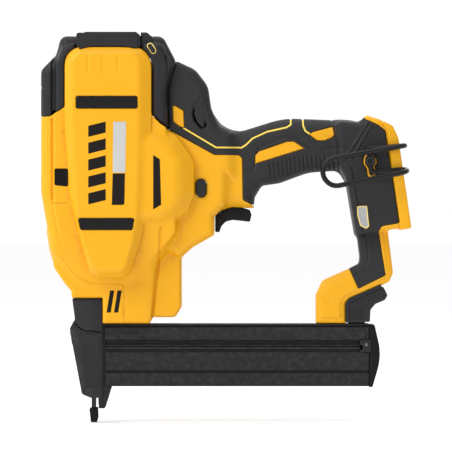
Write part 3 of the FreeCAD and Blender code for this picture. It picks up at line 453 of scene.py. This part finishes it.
def moulded(name, colour, roughness, grain=0.5, depth=0.02, mottle=0.05, wear=0.25, pale=None,
            specular=SATIN, shade_colour=None):
    """Moulded plastic or rubber: spark-eroded grain, faint mottling, handled edges, painted shade in inner
    corners.
    """
    s = Shader(name)
    base = s.mix(s.noise(38, 4.0), tinted(colour, 1 - mottle), tinted(colour, 1 + mottle))
    speck = s.rescale(s.noise(1.1, 2.0), 0.62, 0.75)
    base = s.layered(base, speck, 0.35, tinted(colour, 0.88))
    scuffs = s.rescale(s.noise(6, 5.0), 0.45, 0.7)
    worn = s.math("MULTIPLY", s.edges(), scuffs)
    base = s.layered(base, worn, wear, pale or tinted(colour, 1.5, 0.02))
    # painted shade: darker colour in inner corners and grooves
    base = s.layered(base, s.painted_shade_mask(), PAINTED_SHADE_STRENGTH, shade_colour or tinted(colour, 0.25))
    rough = s.rescale(s.noise(14, 5.0), 0.3, 0.7, roughness - 0.06, roughness + 0.07)
    fine = s.bump(s.cells(grain), depth)
    normal = s.bump(s.noise(grain * 0.45, 2.0), depth * 0.6, below=fine)
    s.surface.inputs["Specular IOR Level"].default_value = specular
    return s.finish(base, rough, normal)


def metal(name, colour, roughness, brush=(1, 1, 1), depth=0.006, metallic=1.0, wear=0.3, mottle=0.08,
          specular=0.5):
    """Metal with the marks of how it was finished along one direction."""
    s = Shader(name)
    lines = s.noise(0.5, 3.0, brush)
    base = s.mix(s.noise(9, 5.0), tinted(colour, 1 - 2 * mottle), tinted(colour, 1 + mottle))
    scuffs = s.rescale(s.noise(4, 4.0), 0.4, 0.7)
    worn = s.math("MULTIPLY", s.edges(0.5, 0.58), scuffs)
    base = s.layered(base, worn, wear, tinted(colour, 1.35, 0.04))
    rough = s.math("ADD", s.rescale(lines, 0.3, 0.7, roughness - 0.07, roughness + 0.08),
                   s.rescale(s.noise(20, 3.0), 0.3, 0.7, -0.02, 0.02))
    normal = s.bump(lines, depth, below=s.bump(s.noise(0.9, 3.0), depth * 0.7))
    s.surface.inputs["Metallic"].default_value = metallic
    s.surface.inputs["Specular IOR Level"].default_value = specular
    return s.finish(base, rough, normal)


def line_distance(s, points):
    """Shader distance, in metres, from a run of straight pieces in the side view."""
    flat = s.add("ShaderNodeVectorMath", operation="MULTIPLY")
    s.link(s.coordinates, flat.inputs[0])
    flat.inputs[1].default_value = (1, 0, 1)
    nearest = None
    for (x0, z0), (x1, z1) in zip(points, points[1:]):
        start = (x0 * MM, 0, z0 * MM)
        step = ((x1 - x0) * MM, 0, (z1 - z0) * MM)
        off = s.add("ShaderNodeVectorMath", operation="SUBTRACT")
        s.link(flat.outputs[0], off.inputs[0])
        off.inputs[1].default_value = start
        along = s.add("ShaderNodeVectorMath", operation="DOT_PRODUCT")
        s.link(off.outputs[0], along.inputs[0])
        along.inputs[1].default_value = step
        share = s.add("ShaderNodeMath", operation="MULTIPLY", use_clamp=True)
        s.link(along.outputs["Value"], share.inputs[0])
        share.inputs[1].default_value = 1 / (step[0] ** 2 + step[2] ** 2)
        foot = s.add("ShaderNodeVectorMath", operation="SCALE")
        foot.inputs[0].default_value = step
        s.link(share.outputs[0], foot.inputs["Scale"])
        rest = s.add("ShaderNodeVectorMath", operation="DISTANCE")
        s.link(off.outputs[0], rest.inputs[0])
        s.link(foot.outputs[0], rest.inputs[1])
        here = rest.outputs["Value"]
        nearest = here if nearest is None else s.math("MINIMUM", nearest, here)
    return nearest


YELLOW = linear(228, 164, 8)
PALE_YELLOW = linear(250, 224, 120)


def grip_material():
    """Soft black layer; the yellow core shows at the bottom of two fine grooves on its sides."""
    s = Shader("grip_rubber_lined")
    colour = linear(41, 41, 42)
    base = s.mix(s.noise(30, 4.0), tinted(colour, 0.9), tinted(colour, 1.12))
    scuffs = s.rescale(s.noise(5, 5.0), 0.42, 0.7)
    base = s.layered(base, s.math("MULTIPLY", s.edges(), scuffs), 0.3, linear(66, 66, 66))
    # painted shade: near-black colour in inner corners and grooves of the soft layer
    base = s.layered(base, s.painted_shade_mask(), PAINTED_SHADE_STRENGTH, linear(12, 12, 12))
    distance = s.math("MINIMUM", line_distance(s, ACCENT_LINE), line_distance(s, SHORT_LINE))
    inlay = s.rescale(distance, 0.5 * MM, 0.72 * MM, 1, 0)
    yellow = s.mix(s.noise(8, 2.0), linear(250, 222, 100), linear(244, 206, 80))
    base = s.mix(inlay, base, yellow)
    rough = s.rescale(s.noise(12, 5.0), 0.3, 0.7, 0.5, 0.66)
    normal = s.bump(s.noise(0.3, 2.0), 0.012, below=s.bump(s.cells(0.7), 0.018))
    s.surface.inputs["Specular IOR Level"].default_value = SATIN
    return s.finish(base, rough, normal)


MATERIALS = {
    # the yellow nylon's painted shade in inner corners is a deep orange
    "yellow_nylon": moulded("yellow_nylon", YELLOW, 0.42, grain=0.8, depth=0.012, mottle=0.03, wear=0.2,
                            pale=PALE_YELLOW, specular=0.3, shade_colour=linear(196, 122, 0)),
    "black_nylon": moulded("black_nylon", linear(36, 36, 39), 0.45, grain=0.6, depth=0.015),
    "dark_nylon": moulded("dark_nylon", linear(20, 20, 21), 0.5, grain=0.6, depth=0.015,
                          specular=0.15),
    "grip_rubber": moulded("grip_rubber", linear(34, 34, 36), 0.6, grain=0.8, depth=0.02, wear=0.15),
    "pad_rubber": moulded("pad_rubber", linear(28, 27, 26), 0.65, grain=1.0, depth=0.03, wear=0.1),
    "grey_nylon": moulded("grey_nylon", linear(150, 150, 148), 0.5),
    "urethane": moulded("urethane", linear(190, 60, 40), 0.5, wear=0.0),
    "hard_coated_aluminium": metal("hard_coated_aluminium", linear(31, 31, 32), 0.5, (0.02, 1, 1),
                                   0.004, 0.0, mottle=0.012, specular=0.2),
    "tool_steel": metal("tool_steel", linear(110, 110, 112), 0.34, (1, 1, 0.05)),
    "blackened_steel": metal("blackened_steel", linear(40, 40, 42), 0.42, (1, 1, 0.3), 0.008, 0.2,
                             specular=0.25),
    "hook_wire": metal("hook_wire", linear(10, 10, 11), 0.35, (0.1, 1, 1), 0.006, 0.0,
                       specular=0.3),
    "spring_steel": metal("spring_steel", linear(170, 170, 172), 0.28, (1, 1, 1)),
    "cast_aluminium": metal("cast_aluminium", linear(176, 177, 179), 0.5, (1, 1, 1), 0.03),
    "bearing_steel": metal("bearing_steel", linear(190, 190, 192), 0.2, (1, 0.05, 1), 0.003),
    "copper_wire": metal("copper_wire", linear(200, 118, 70), 0.3, (1, 0.1, 1), 0.02),
    "contact_brass": metal("contact_brass", linear(212, 176, 96), 0.28, (1, 0.1, 1)),
    "board_green": moulded("board_green", linear(20, 92, 52), 0.4, grain=1.4, depth=0.02, wear=0.0),
    "lamp_lens": moulded("lamp_lens", linear(16, 14, 13), 0.25, grain=2.0, depth=0.01, wear=0.0,
                         specular=0.15),
    "grip_lined": grip_material(),
    "print_black": moulded("print_black", linear(22, 18, 16), 0.5, grain=0.4, depth=0.004,
                           wear=0.0, specular=0.15),
    "print_grey": moulded("print_grey", linear(186, 186, 184), 0.45, grain=0.4, depth=0.004,
                          wear=0.0),
    "label_metal": metal("label_metal", linear(186, 186, 186), 0.32, (1, 1, 0.06), 0.004),
    "pale_yellow": moulded("pale_yellow", linear(246, 222, 120), 0.45, grain=0.4, depth=0.004,
                           wear=0.0),
}


def dress(obj, body, slot, material=None, stands_for=()):
    """Gives a piece its body, its material and the CAD nodes it stands for."""
    obj.data.materials.clear()
    obj.data.materials.append(MATERIALS[material or slot])
    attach(obj, body)
    if stands_for:
        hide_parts(*stands_for)
    return obj


# ---- moulded shells ----
def tapered(grid, field):
    """Draws the sides of the head in towards the nose."""
    nose_z, nose_half, slope, evened = 112, 22.5, 0.34, 0.94
    plane = (grid.wide - nose_half - slope * (grid.side_z - nose_z)[:, None, :]) * evened
    return meet(field, plane, 8)


def outer_body(g):
    """Both halves and the soft layer together, without openings."""
    head = join(g.block(HEAD, 30, 8), g.block(WING, 33, 2.4), 0.8)
    head = tapered(g, head)
    body = join(head, g.bevelled(PANEL, 34.5, PANEL_FACE, PANEL_TOP, 0.72, 1.4), 1.0)
    body = join(body, g.bevelled(MOTOR, 29, MOTOR_FACE, 38.5, 0.7, 3.5), 2.5)
    nose = join(g.block(NOSE_FRONT, 20, 3), g.block(NOSE_REAR, 16.5, 3), 2)
    body = join(body, nose, 6)
    for outline, half_width, edge, fillet in ((WAIST, 23, 6, 3), (HUMP, 23, 8, 0.6), (GRIP, 17, 13, 8),
                                              (FOOT, 29.5, 5, 5), (RAIL, 33.5, 1.6, 0.8),
                                              (NECK, 14, 4, 3)):
        body = join(body, g.block(outline, half_width, edge), fillet)
    return join(body, g.swept(g.flat(NECK) + 4.4, 14.9, 1.0), 0.6)


def side_details(g, body):
    """Grooves and marks that are moulded into the outer surface."""
    for x in (-3.7, 8, 20):
        body = sunk(body, g.near([(x, 277), (x, 288)]), 0.5, 0.3, 1.6)
    wing_end = [(-31, 173), (-19.5, 173)]
    wing_edge = [(-31.8, 239), (-31.8, 176)]
    nose_step = [(53.6, 154), (52.2, 132), (49.8, 112), (46.6, 84)]
    neck_line = [(183, 94), (195, 98)]
    for line, depth, low, high in ((PARTING_LINE, 0.45, 0.1, 0.8), (wing_end, 0.6, 0.2, 1.0),
                                   (wing_edge, 0.7, 0.2, 1.3), (nose_step, 0.9, 0.3, 1.5),
                                   (neck_line, 0.4, 0.2, 0.9)):
        body = sunk(body, g.near(line), depth, low, high)
    return body


def rib_waves(g):
    """Finger ribs under the handle, as a lowering of the surface."""
    zone = g.flat([(136, 206), (167, 213.5, 3), (183, 212), (199, 208, 4), (199, 186), (143, 180),
                   (136, 192)])
    strength = 1 - ramp(zone, -3.0, 0.5)
    lean = g.side_x + 0.1 * (g.side_z - 200)
    pitch = 3.4
    wave = 0.5 + 0.5 * np.cos(2 * math.pi * (lean - 143) / pitch)
    return strength * wave[:, None, :] * ramp(g.wide, 5, 9)


def grip_details(g, body):
    """Shape of the soft layer: channel beside the accent line, ribs, dimple and foot ridges."""
    deepest = body + 1.1
    line = np.minimum(g.near(ACCENT_LINE), g.near(SHORT_LINE))
    body = sunk(body, line, 0.7, 0.5, 1.3)
    body = body + 0.75 * rib_waves(g)
    dimple = g.flat([(77.5, 246, 4), (83, 254, 4), (87.5, 252, 4), (90.5, 232, 3), (85, 231, 3),
                     (78, 238, 4)])
    body = sunk(body, dimple, 1.15, -1.3, 0.3)
    crescent = g.near([(84.5, 256), (79.5, 250), (78.6, 243), (81.5, 236), (86, 231.5)])
    body = sunk(body, crescent, 0.8, 0.3, 1.5)
    rim = g.flat([(66, 238, 4), (67.5, 268, 10), (74, 275, 4), (82, 268, 8), (88, 256, 10),
                  (89, 240, 6), (86, 226, 4), (70, 232, 3)])
    body = sunk(body, rim, -0.5, -2.5, 0.5)
    groove = g.near([(126, 200), (131, 217.5), (152, 225.5), (160, 225), (170, 217.5), (180, 215.5),
                     (194, 217.5), (199, 215)])
    body = sunk(body, groove, 0.6, 0.3, 2.2)
    for shift in (0, 5.2):
        ridge = g.near([(216.5 + shift * 0.7, 237), (205 + shift * 0.9, 219), (197 + shift, 207)])
        body = sunk(body, ridge, -0.7, 0.2, 1.6)
    foot_edge = [(203.8, 201), (212.6, 147.5)]
    neck_edge = [(214.8, 149), (216.5, 129), (214, 121), (206.5, 117)]
    notch = [(188.2, 236), (188, 243)]
    for line, depth, low, high in ((foot_edge, 0.7, 0.3, 1.2), (neck_edge, 0.6, 0.3, 1.3),
                                   (notch, 0.6, 0.2, 1.0)):
        body = sunk(body, g.near(line), depth, low, high)
    return np.minimum(body, deepest)


def openings(g, field):
    """Holes through both halves for the trigger, button, depth wheel, battery contacts and lamps."""
    cuts = [g.box(*TRIGGER_GAP), g.box((-13, 7), 13, (90, 103)),
            g.box((5, 12), 13, (70, 103)), g.box((50, 75), 7, (92.6, 101.4)),
            np.maximum(g.flat(TERMINAL_WINDOW), g.wide - 22),
            np.maximum(g.flat(RAIL_RECESS), g.wide - 25.5),
            np.maximum(g.flat(RAIL_GROOVE), g.wide - 28.5)]
    for cut in cuts:
        field = carve(field, cut, 0.5)
    field = carve(field, g.flat(BUTTON_HOLE), 0.9)
    pocket = g.flat([(-29.8, 187.4, 1), (-19.3, 186.2, 1), (-19.3, 200.2, 1), (-29.8, 200.2, 1)])
    field = carve(field, np.maximum(pocket, 28 - g.wide), 0.8)
    for strip in STRIPS:
        field = carve(field, np.maximum(g.flat(strip) - 0.35, PANEL_TOP - 2.0 - g.wide), 0.5)
    field = carve(field, np.maximum(g.flat(LEVER_LIP) - 0.4, 33.0 - g.wide), 0.5)
    return field


def screw_recesses(g, field, radius):
    """Round pits down to each screw head, on the right side."""
    for x, z, depth in SCREWS:
        field = carve(field, np.maximum(g.disc((x, z), radius), depth - 3.2 - g.across), 0.6)
    return field


def build_shells():
    """Housing halves with the soft layer over them: solved for the right side, mirrored for the left."""
    g = Grid((-44, 254), (-2, 44), (74, 311), CELL)
    plain = outer_body(g)
    body = side_details(g, plain)
    dark = g.flat(DARK_ZONE)
    cap_zone = g.flat(CAP_ZONE)
    inlays = np.minimum(np.minimum(g.flat(TAG), g.flat(LOWER_INLAY)), g.flat(UPPER_INLAY))
    keyhole = g.flat(KEYHOLE)
    cap = cap_outer(g)
    halves = SEAM - g.across

    core = join(carve(body, dark, 0.8), plain + SKIN, 0)
    core = join(core, meet(body + 0.25, inlays + 0.15, 0.6), 0)
    core = carve(core, plain + SKIN + WALL, 0)
    core = carve(core, cap_zone - 0.2, 0.8)
    core = carve(core, cap - 0.3, 0.5)
    core = openings(g, core)
    core = meet(core, halves, 0.5)

    skin = carve(grip_details(g, body), inlays - 0.15, 0.9)
    skin = meet(skin, dark + 0.12, 1.0)
    skin = meet(skin, -(plain + SKIN - 0.1), 0)
    skin = carve(skin, cap - 0.3, 0.7)
    skin = carve(skin, g.box(*TRIGGER_GAP), 0.5)
    skin = meet(skin, halves, 0.5)
    rim = meet(meet(body + 0.2, keyhole + 0.25, 0.5), halves)
    screw_hole = g.disc(HOOK_SCREW, 2.3)
    for side, mirrored in (("left", True), ("right", False)):
        half = carve(join(core, rim), screw_hole, 0.4) if mirrored else screw_recesses(g, core, 3.8)
        shell = g.mesh("housing_shell_" + side, half, mirrored, 0.02)
        dress(shell, "housing", "yellow_nylon", None, ["housing_" + side])
        layer = carve(skin, keyhole, 0.7) if mirrored else screw_recesses(g, skin, 4.2)
        cover = g.mesh("grip_skin_" + side, layer, mirrored, 0.01)
        dress(cover, "housing", "grip_rubber", "grip_lined", ["grip_overmold_" + side])


def cap_outer(g):
    """Outside of the cap, down to its joint with the housing."""
    base = join(g.block(HEAD, CAP_HALF, 7), g.block(CAP_LIP, CAP_HALF, 1.5), 1)
    cap = join(base, g.block(CAP_FRONT, COLUMN_HALF, 3.6), 0.8)
    cap = join(cap, g.block(CAP_COLUMN, COLUMN_HALF, 5.2), 1.0)
    return meet(cap, g.flat(CAP_ZONE) + 0.1, 1.0)


def build_cap():
    """One-piece cover over the top of the head, with a column beside each end of the panel."""
    g = Grid((-44, 70), (-38, 38), (228, 311), CELL)
    cap = cap_outer(g)
    groove = g.near([(-31.0, 238), (-31.0, 283), (-26, 296)])
    cap = cap + 1.7 * (1 - ramp(groove, 0.8, 2.2)) * ramp(g.wide, 18, 26)
    cap = sunk(cap, g.near([(-44, 264), (-36, 264)]), 0.5, 0.2, 1.0)
    inner = join(g.block(HEAD, CAP_HALF, 7), g.block(CAP_COLUMN, COLUMN_HALF, 5.2), 1.0) + WALL
    cap = carve(cap, inner, 0)
    cap = carve(cap, np.maximum(g.box((-13.4, 37.7), 60, (292, 312)), 30.2 - g.wide), 0.7)
    cap = join(cap, g.box((54.5, 61.6), 20.6, (236.5, 281)), 0)
    shell = g.mesh("cap_shell", cap, False, 0.01)
    dress(shell, "housing", "black_nylon", None, ["top_cap"])


# ---- plates, screw heads and thin printed marks ----
SIDES = (("left", -1), ("right", 1))


def ring_faces(count, rings, first=0):
    """Four-sided faces between one ring of points and the next."""
    return [[first + k * count + i, first + k * count + (i + 1) % count,
             first + (k + 1) * count + (i + 1) % count, first + (k + 1) * count + i]
            for k in range(rings) for i in range(count)]


def slab(name, corners, low, high, slot, body="housing", material=None, hollow=0):
    """A plate with this side outline and chamfered rims, on both sides of the tool.

    It lies between two distances from the middle plane. With hollow set, only a border of that
    width is kept.
    """
    outline = rounded(corners)
    rim = min(0.3, (high - low) * 0.6)
    if hollow:
        rim = min(rim, hollow * 0.4)
    loops = [(low, outline), (high - rim, outline), (high, inset_loop(outline, rim))]
    if hollow:
        loops += [(high, inset_loop(outline, hollow - rim)), (high - rim, inset_loop(outline, hollow)),
                  (low, inset_loop(outline, hollow))]
    count = len(outline)
    last = len(loops) - 1
    for side, sign in SIDES:
        points = [(x, sign * y, z) for y, loop in loops for x, z in loop]
        faces = ring_faces(count, last)
        if hollow:
            faces += [[last * count + i, last * count + (i + 1) % count, (i + 1) % count, i]
                      for i in range(count)]
        else:
            faces += [list(range(count)), list(range(last * count, (last + 1) * count))]
        dress(closed_mesh(f"{name}_{side}", points, faces), body, slot, material)


def stud(name, x, z, y, radius, body, slot="blackened_steel"):
    """A low screw head with a six-sided socket, on both sides."""
    profile = [(1.0, -0.6), (1.0, 0.45), (0.86, 0.75), (0.5, 0.85)]
    steps = 24
    for side, sign in SIDES:
        points = []
        for share, height in profile + [(0.5, 0.2)]:
            for i in range(steps):
                angle = 2 * math.pi * i / steps
                flat = 0.866 / math.cos((angle % (math.pi / 3)) - math.pi / 6) if share == 0.5 else 1.0
                reach = radius * share * flat
                points.append((x + reach * math.cos(angle), sign * (y + height),
                               z + reach * math.sin(angle)))
        faces = ring_faces(steps, len(profile))
        faces += [list(range(steps)), list(range(4 * steps, 5 * steps))]
        dress(closed_mesh(f"{name}_{side}", points, faces), body, slot)


def tidy_normals(obj):
    """Turns every face outwards."""
    form = bmesh.new()
    form.from_mesh(obj.data)
    bmesh.ops.recalc_face_normals(form, faces=form.faces)
    form.to_mesh(obj.data)
    form.free()


def build_marks():
    """Plain shapes where the real tool has lettering and labels."""
    on_panel = (PANEL_TOP - 0.2, PANEL_TOP + 0.15)
    slab("gauge_mark", [(47.5, 211), (53, 207.5), (54, 171.8), (47.5, 168)], 38.2, 38.65, "black_nylon",
         material="print_black")
    slab("panel_band_grey", [(16.4, 236.8), (26.6, 236.8), (25.8, 196.9), (15.9, 196.9)],
         *on_panel, "grey_nylon", material="print_grey")
    slab("panel_band_black", [(15.9, 196.4), (25.7, 196.4), (25.2, 171.6, 1.5), (15.2, 171.6)],
         *on_panel, "black_nylon", material="print_black")
    for i in range(5):
        low = 172 + i * 13.2
        bar = [(-3.2, low), (10.6, low + 3.4), (10.6, low + 12.2), (-3.2, low + 8.8)]
        slab(f"panel_bar_{i}", bar, *on_panel, "black_nylon", material="print_black")
    for i, x in enumerate((10.5, 16.3)):
        slab(f"nose_bar_{i}", [(x, 87), (x + 3.4, 87), (x + 6.2, 104.5), (x + 2.8, 104.5)],
             19.8, 20.2, "black_nylon", material="print_black")
    icon = [(42.2, 296.4, 2), (43.6, 299.0, 2), (46.6, 298.6, 2), (50.2, 293, 2), (49.2, 290.2, 2),
            (46.2, 290.2, 2)]
    slab("cap_icon", icon, 32.2, 33.15, "yellow_nylon", material="pale_yellow", hollow=0.7)
    label = [(207.6, 170.8, 0.8), (215.4, 171.0, 0.8), (217.0, 154.8, 1), (214.6, 153.0, 1),
             (210.0, 155.4, 1), (207.7, 163.8, 1)]
    slab("rating_label", label, 29.2, 29.75, "tool_steel", material="label_metal")
    slab("rating_border", label, 29.2, 30.0, "yellow_nylon", material="pale_yellow", hollow=0.8)


# ---- magazine extrusions: half sections (y, z) ----
UPPER_SIDE = [(4.2, 74.0), (4.2, 60.4), (11.3, 60.4), (11.8, 60.6), (11.8, 61.3), (11.4, 61.6), (9.0, 61.9),
              (9.0, 64.7), (11.8, 65.0), (12.4, 65.4), (12.5, 65.8), (12.5, 74.9), (12.2, 75.3), (9.9, 75.4),
              (9.9, 76.5), (11.9, 76.6), (12.3, 76.9), (12.3, 77.5), (11.8, 78.0)]
LOWER_SIDE = [(2.5, 69.6), (2.5, 31.0), (4.2, 31.0), (4.2, 60.0), (11.6, 60.0), (12.1, 59.7), (12.3, 59.2),
              (12.3, 58.3), (12.0, 57.8), (10.6, 57.4), (10.6, 55.9), (12.2, 55.6), (12.5, 55.2),
              (12.5, 41.6), (12.2, 41.2), (10.6, 41.0), (10.6, 39.5), (12.2, 39.2), (12.5, 38.8),
              (12.5, 31.2), (12.0, 29.6), (10.9, 28.7), (9.6, 28.5)]


def inset_loop(loop, distance):
    """A closed loop moved inwards, corner by corner."""
    ahead = np.roll(loop, -1, 0) - loop
    ahead = ahead / np.linalg.norm(ahead, axis=1, keepdims=True)
    inward = np.stack([-ahead[:, 1], ahead[:, 0]], 1)
    before = np.roll(inward, 1, 0)
    turn = 1 + np.sum(inward * before, axis=1, keepdims=True)
    following = np.roll(loop, -1, 0)
    turns_left = np.sum(loop[:, 0] * following[:, 1] - loop[:, 1] * following[:, 0]) > 0
    return loop + (1 if turns_left else -1) * distance * (inward + before) / np.maximum(turn, 0.6)


def closed_mesh(name, points, faces):
    mesh = bpy.data.meshes.new(name)
    mesh.from_pydata([tuple(c * MM for c in point) for point in points], [], faces)
    obj = placed(name, mesh)
    tidy_normals(obj)
    return obj


def extruded(name, side, low, high, rim):
    """A closed bar along X with this half section (y, z), mirrored to the left, and chamfered ends."""
    section = [(y, z) for y, z in side] + [(-y, z) for y, z in reversed(side)]
    section = np.array(section)
    inset = inset_loop(section, rim)
    rings = [(low, inset), (low + rim, section), (high - rim, section), (high, inset)]
    points = [(x, y, z) for x, ring in rings for y, z in ring]
    count = len(section)
    faces = [list(range(count)), list(range(3 * count, 4 * count))] + ring_faces(count, 3)
    return closed_mesh(name, points, faces)


def build_magazine():
    """The magazine's two profiles, with the small parts on them and on the latch, door and lever."""
    chamfer = 0.25
    upper = extruded("magazine_rail", UPPER_SIDE, 9.0, MAGAZINE_END, chamfer)
    dress(upper, "housing", SLOT_OF["magazine_body"], None, ["magazine_body"])
    lower = extruded("magazine_channel", LOWER_SIDE, 9.2, MAGAZINE_END, chamfer)
    dress(lower, "magazine_slide", SLOT_OF["magazine_slide"], None, ["magazine_slide"])
    slab("magazine_boss", [(19.8, 70.8, 2), (38.2, 70.8, 2), (39.5, 65.4, 0.4), (19.8, 65.4, 2.4)],
         MAGAZINE_HALF - 0.2, MAGAZINE_HALF + 1.2, "hard_coated_aluminium")
    slab("rail_block", [(210.6, 65.2, 0.5), (218.9, 65.2, 0.5), (218.9, 55.6, 0.5), (210.2, 55.6, 0.5),
                        (210.2, 57.4, 0.3), (212.0, 58.0, 0.3), (212.0, 60.6, 0.3),
                        (210.6, 61.4, 0.3)], 11.8, 14.2, "black_nylon", "magazine_slide")
    for i, (x, z, y, radius, slot) in enumerate([(215.4, 61.6, 14.2, 1.5, "tool_steel"),
                                                 (215.2, 33.2, MAGAZINE_HALF, 1.6, "blackened_steel"),
                                                 (173, 49.8, MAGAZINE_HALF, 0.9, "blackened_steel")]):
        stud(f"magazine_stud_{i}", x, z, y, radius, "magazine_slide", slot)
    # Painted shade: a dark plate closes the gap between latch and housing, standing in for the shade in that
    # gap.
    gap_shade_outline = [(199.0, 79), (199.0, 94.4, 2), (201.8, 98.2, 2), (226.5, 109.0), (228.0, 106.6, 0.4),
             (204.0, 95.6, 2), (201.9, 93.2, 1), (201.9, 79)]
    slab("latch_gap_shade", gap_shade_outline, 12.85, 13.9, "black_nylon")
    for i in range(4):
        x = 203.6 + i * 2.9
        rise = i * 0.7
        rib = [(x, 81, 0.5), (x + 1.3, 81, 0.5), (x + 1.3, 90.5 + rise, 0.5), (x, 90 + rise, 0.5)]
        slab(f"latch_rib_{i}", rib, 12.8, 13.4, "black_nylon", "magazine_latch")
    slab("door_face", [(-11.6, 70.4, 1.5), (4.6, 69.2, 1), (4.6, 28, 1), (-6.7, 28, 2)], 13.8, 14.7,
         "black_nylon", "nose_door")
    slab("lever_side", LEVER_LIP, 33.3, 34.6, "black_nylon", "stall_lever")


# ---- springs ----
def coiled(name, centres, low, high, radius, wire, turns):
    """Round wire wound along Z around each centre."""
    around, per_turn = 8, 20
    along = turns * per_turn
    points, faces = [], []
    for x, y in centres:
        first = len(points)
        rise = (high - low - 2 * wire) / along
        lean = math.atan2(rise * per_turn, 2 * math.pi * radius)
        for i in range(along + 1):
            turn = 2 * math.pi * i / per_turn
            out = Vector((math.cos(turn), math.sin(turn), 0))
            up = Vector((math.sin(turn) * math.sin(lean), -math.cos(turn) * math.sin(lean),
                         math.cos(lean)))
            middle = Vector((x, y, low + wire + rise * i)) + out * radius
            for k in range(around):
                angle = 2 * math.pi * k / around
                points.append(tuple(middle + wire * (math.cos(angle) * out + math.sin(angle) * up)))
        faces += ring_faces(around, along, first)
        faces += [list(range(first, first + around)),
                  list(range(len(points) - around, len(points)))]
    obj = closed_mesh(name, points, faces)
    obj.data.polygons.foreach_set("use_smooth", [len(face) == 4 for face in faces])
    return obj


def build_springs():
    """Coils in place of the CAD's springs."""
    for name, node, shape, joint, anchor, keep in (
            ("drive_coils", "return_springs", ([(9, -14), (9, 14)], 125.2, 199.8, 3.6, 0.5, 12),
             "drive_stroke", (9, 0, 125.2), 0.155),
            ("contact_coil", "contact_trip_spring", ([(-8, 0)], 88.2, 120.6, 3.2, 0.45, 9),
             "contact_press", (-8, 0, 120.6), 0.69),
            ("trigger_coil", "trigger_spring", ([(119, 0)], 171.6, 176.2, 1.6, 0.3, 3),
             "trigger_pull", (119, 0, 176.2), 0.3)):
        spring = dress(coiled(name, *shape), "housing", SLOT_OF[node], None, [node])
        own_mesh(spring)


# ---- the CAD's own nodes ----
BEVELS = {"trigger": 0.6, "lock_off_button": 0.3, "stall_lever": 0.7, "nose_door": 0.8, "nose_shroud": 1.0,
          "bumper_strips": 0.6, "magazine_end_cap": 0.5, "magazine_latch": 1.0, "no_mar_pad": 0.4,
          "nosepiece": 0.4, "contact_trip": 0.3, "latch_bracket": 0.3, "jam_latch": 0.4,
          "magazine_body": 0.5, "magazine_slide": 0.5, "depth_wheel": 0.3, "driver_carriage": 0.5,
          "battery_terminal_block": 0.4}
DARKEST = ("magazine_end_cap", "bumper_strips", "trigger", "no_mar_pad")


def dress_nodes():
    """Materials and worn edges for every node that the CAD model supplies."""
    for name, obj in NODES.items():
        obj.data.materials.clear()
        obj.data.materials.append(MATERIALS["dark_nylon" if name in DARKEST else SLOT_OF[name]])
        obj.data.polygons.foreach_set("use_smooth", [True] * len(obj.data.polygons))
        weld = obj.modifiers.new("weld", "WELD")
        weld.merge_threshold = 1e-6
        if name in BEVELS:
            bevel = obj.modifiers.new("edges", "BEVEL")
            bevel.width = BEVELS[name] * MM
            bevel.segments = 2
            bevel.limit_method = "ANGLE"
            bevel.angle_limit = math.radians(40)
            bevel.harden_normals = True
        else:
            sharp = obj.modifiers.new("corners", "EDGE_SPLIT")
            sharp.split_angle = math.radians(35)


# ---- room ----
def build_room():
    """Pale floor, soft light from the upper left and a camera square to the left side."""
    bpy.context.scene.view_settings.view_transform = "Standard"
    world = bpy.data.worlds.new("studio")
    bpy.context.scene.world = world
    world.use_nodes = True
    sky = world.node_tree.nodes
    sky["Background"].inputs["Color"].default_value = (1, 1, 1, 1)
    towards = sky.new("ShaderNodeTexCoord")
    slope = sky.new("ShaderNodeVectorMath")
    slope.operation = "DOT_PRODUCT"
    slope.inputs[1].default_value = (-0.34, 0.2, 0.12)
    level = sky.new("ShaderNodeMath")
    level.inputs[1].default_value = 0.84
    world.node_tree.links.new(towards.outputs["Generated"], slope.inputs[0])
    world.node_tree.links.new(slope.outputs["Value"], level.inputs[0])
    world.node_tree.links.new(level.outputs[0], sky["Background"].inputs["Strength"])

    floor_mesh = bpy.data.meshes.new("floor")
    reach = 30.0
    floor_mesh.from_pydata([(-reach, -reach, 0), (reach, -reach, 0), (reach, reach, 0), (-reach, reach, 0)],
                           [], [(0, 1, 2, 3)])
    floor = placed("floor", floor_mesh)
    floor.location.z = CAD_BOX[0].z - 0.0002
    s = Shader("floor_paper")
    s.finish(s.mix(s.noise(900, 2.0), (0.9, 0.9, 0.9, 1), (0.93, 0.93, 0.93, 1)),
             s.rescale(s.noise(300, 2.0), 0.3, 0.7, 0.85, 0.95), s.bump(s.noise(2.0, 2.0), 0.01))
    s.surface.inputs["Emission Color"].default_value = (1, 1, 1, 1)
    s.surface.inputs["Emission Strength"].default_value = 0.12
    floor.data.materials.append(s.material)

    def area_light(name, place, target, size, power):
        lamp = bpy.data.lights.new(name, "AREA")
        lamp.shape = "RECTANGLE"
        lamp.size, lamp.size_y = size
        lamp.energy = power
        obj = placed(name, lamp)
        obj.location = place
        obj.rotation_euler = (Vector(target) - Vector(place)).to_track_quat("-Z", "Y").to_euler()

    middle = (0.1, 0, 0.16)
    area_light("key", (-1.3, -1.5, 1.7), middle, (1.4, 1.1), 30)
    area_light("top", (0.1, 0.2, 2.2), middle, (2.0, 1.4), 10)
    area_light("rear", (0.8, 2.0, 1.2), middle, (1.6, 1.2), 9)

    lens = bpy.data.cameras.new("camera")
    camera = placed("camera", lens)
    to_side, half_depth, seen_width = 3.0, 0.03, 0.3548
    camera.location = (0.1046, -(to_side + half_depth), 0.1552)
    camera.rotation_euler = (math.pi / 2, 0, 0)
    lens.lens = lens.sensor_width * to_side / seen_width
    lens.clip_end = 100
    bpy.context.scene.camera = camera


build_room()
dress_nodes()
build_shells()
build_cap()
build_magazine()
build_marks()
build_springs()
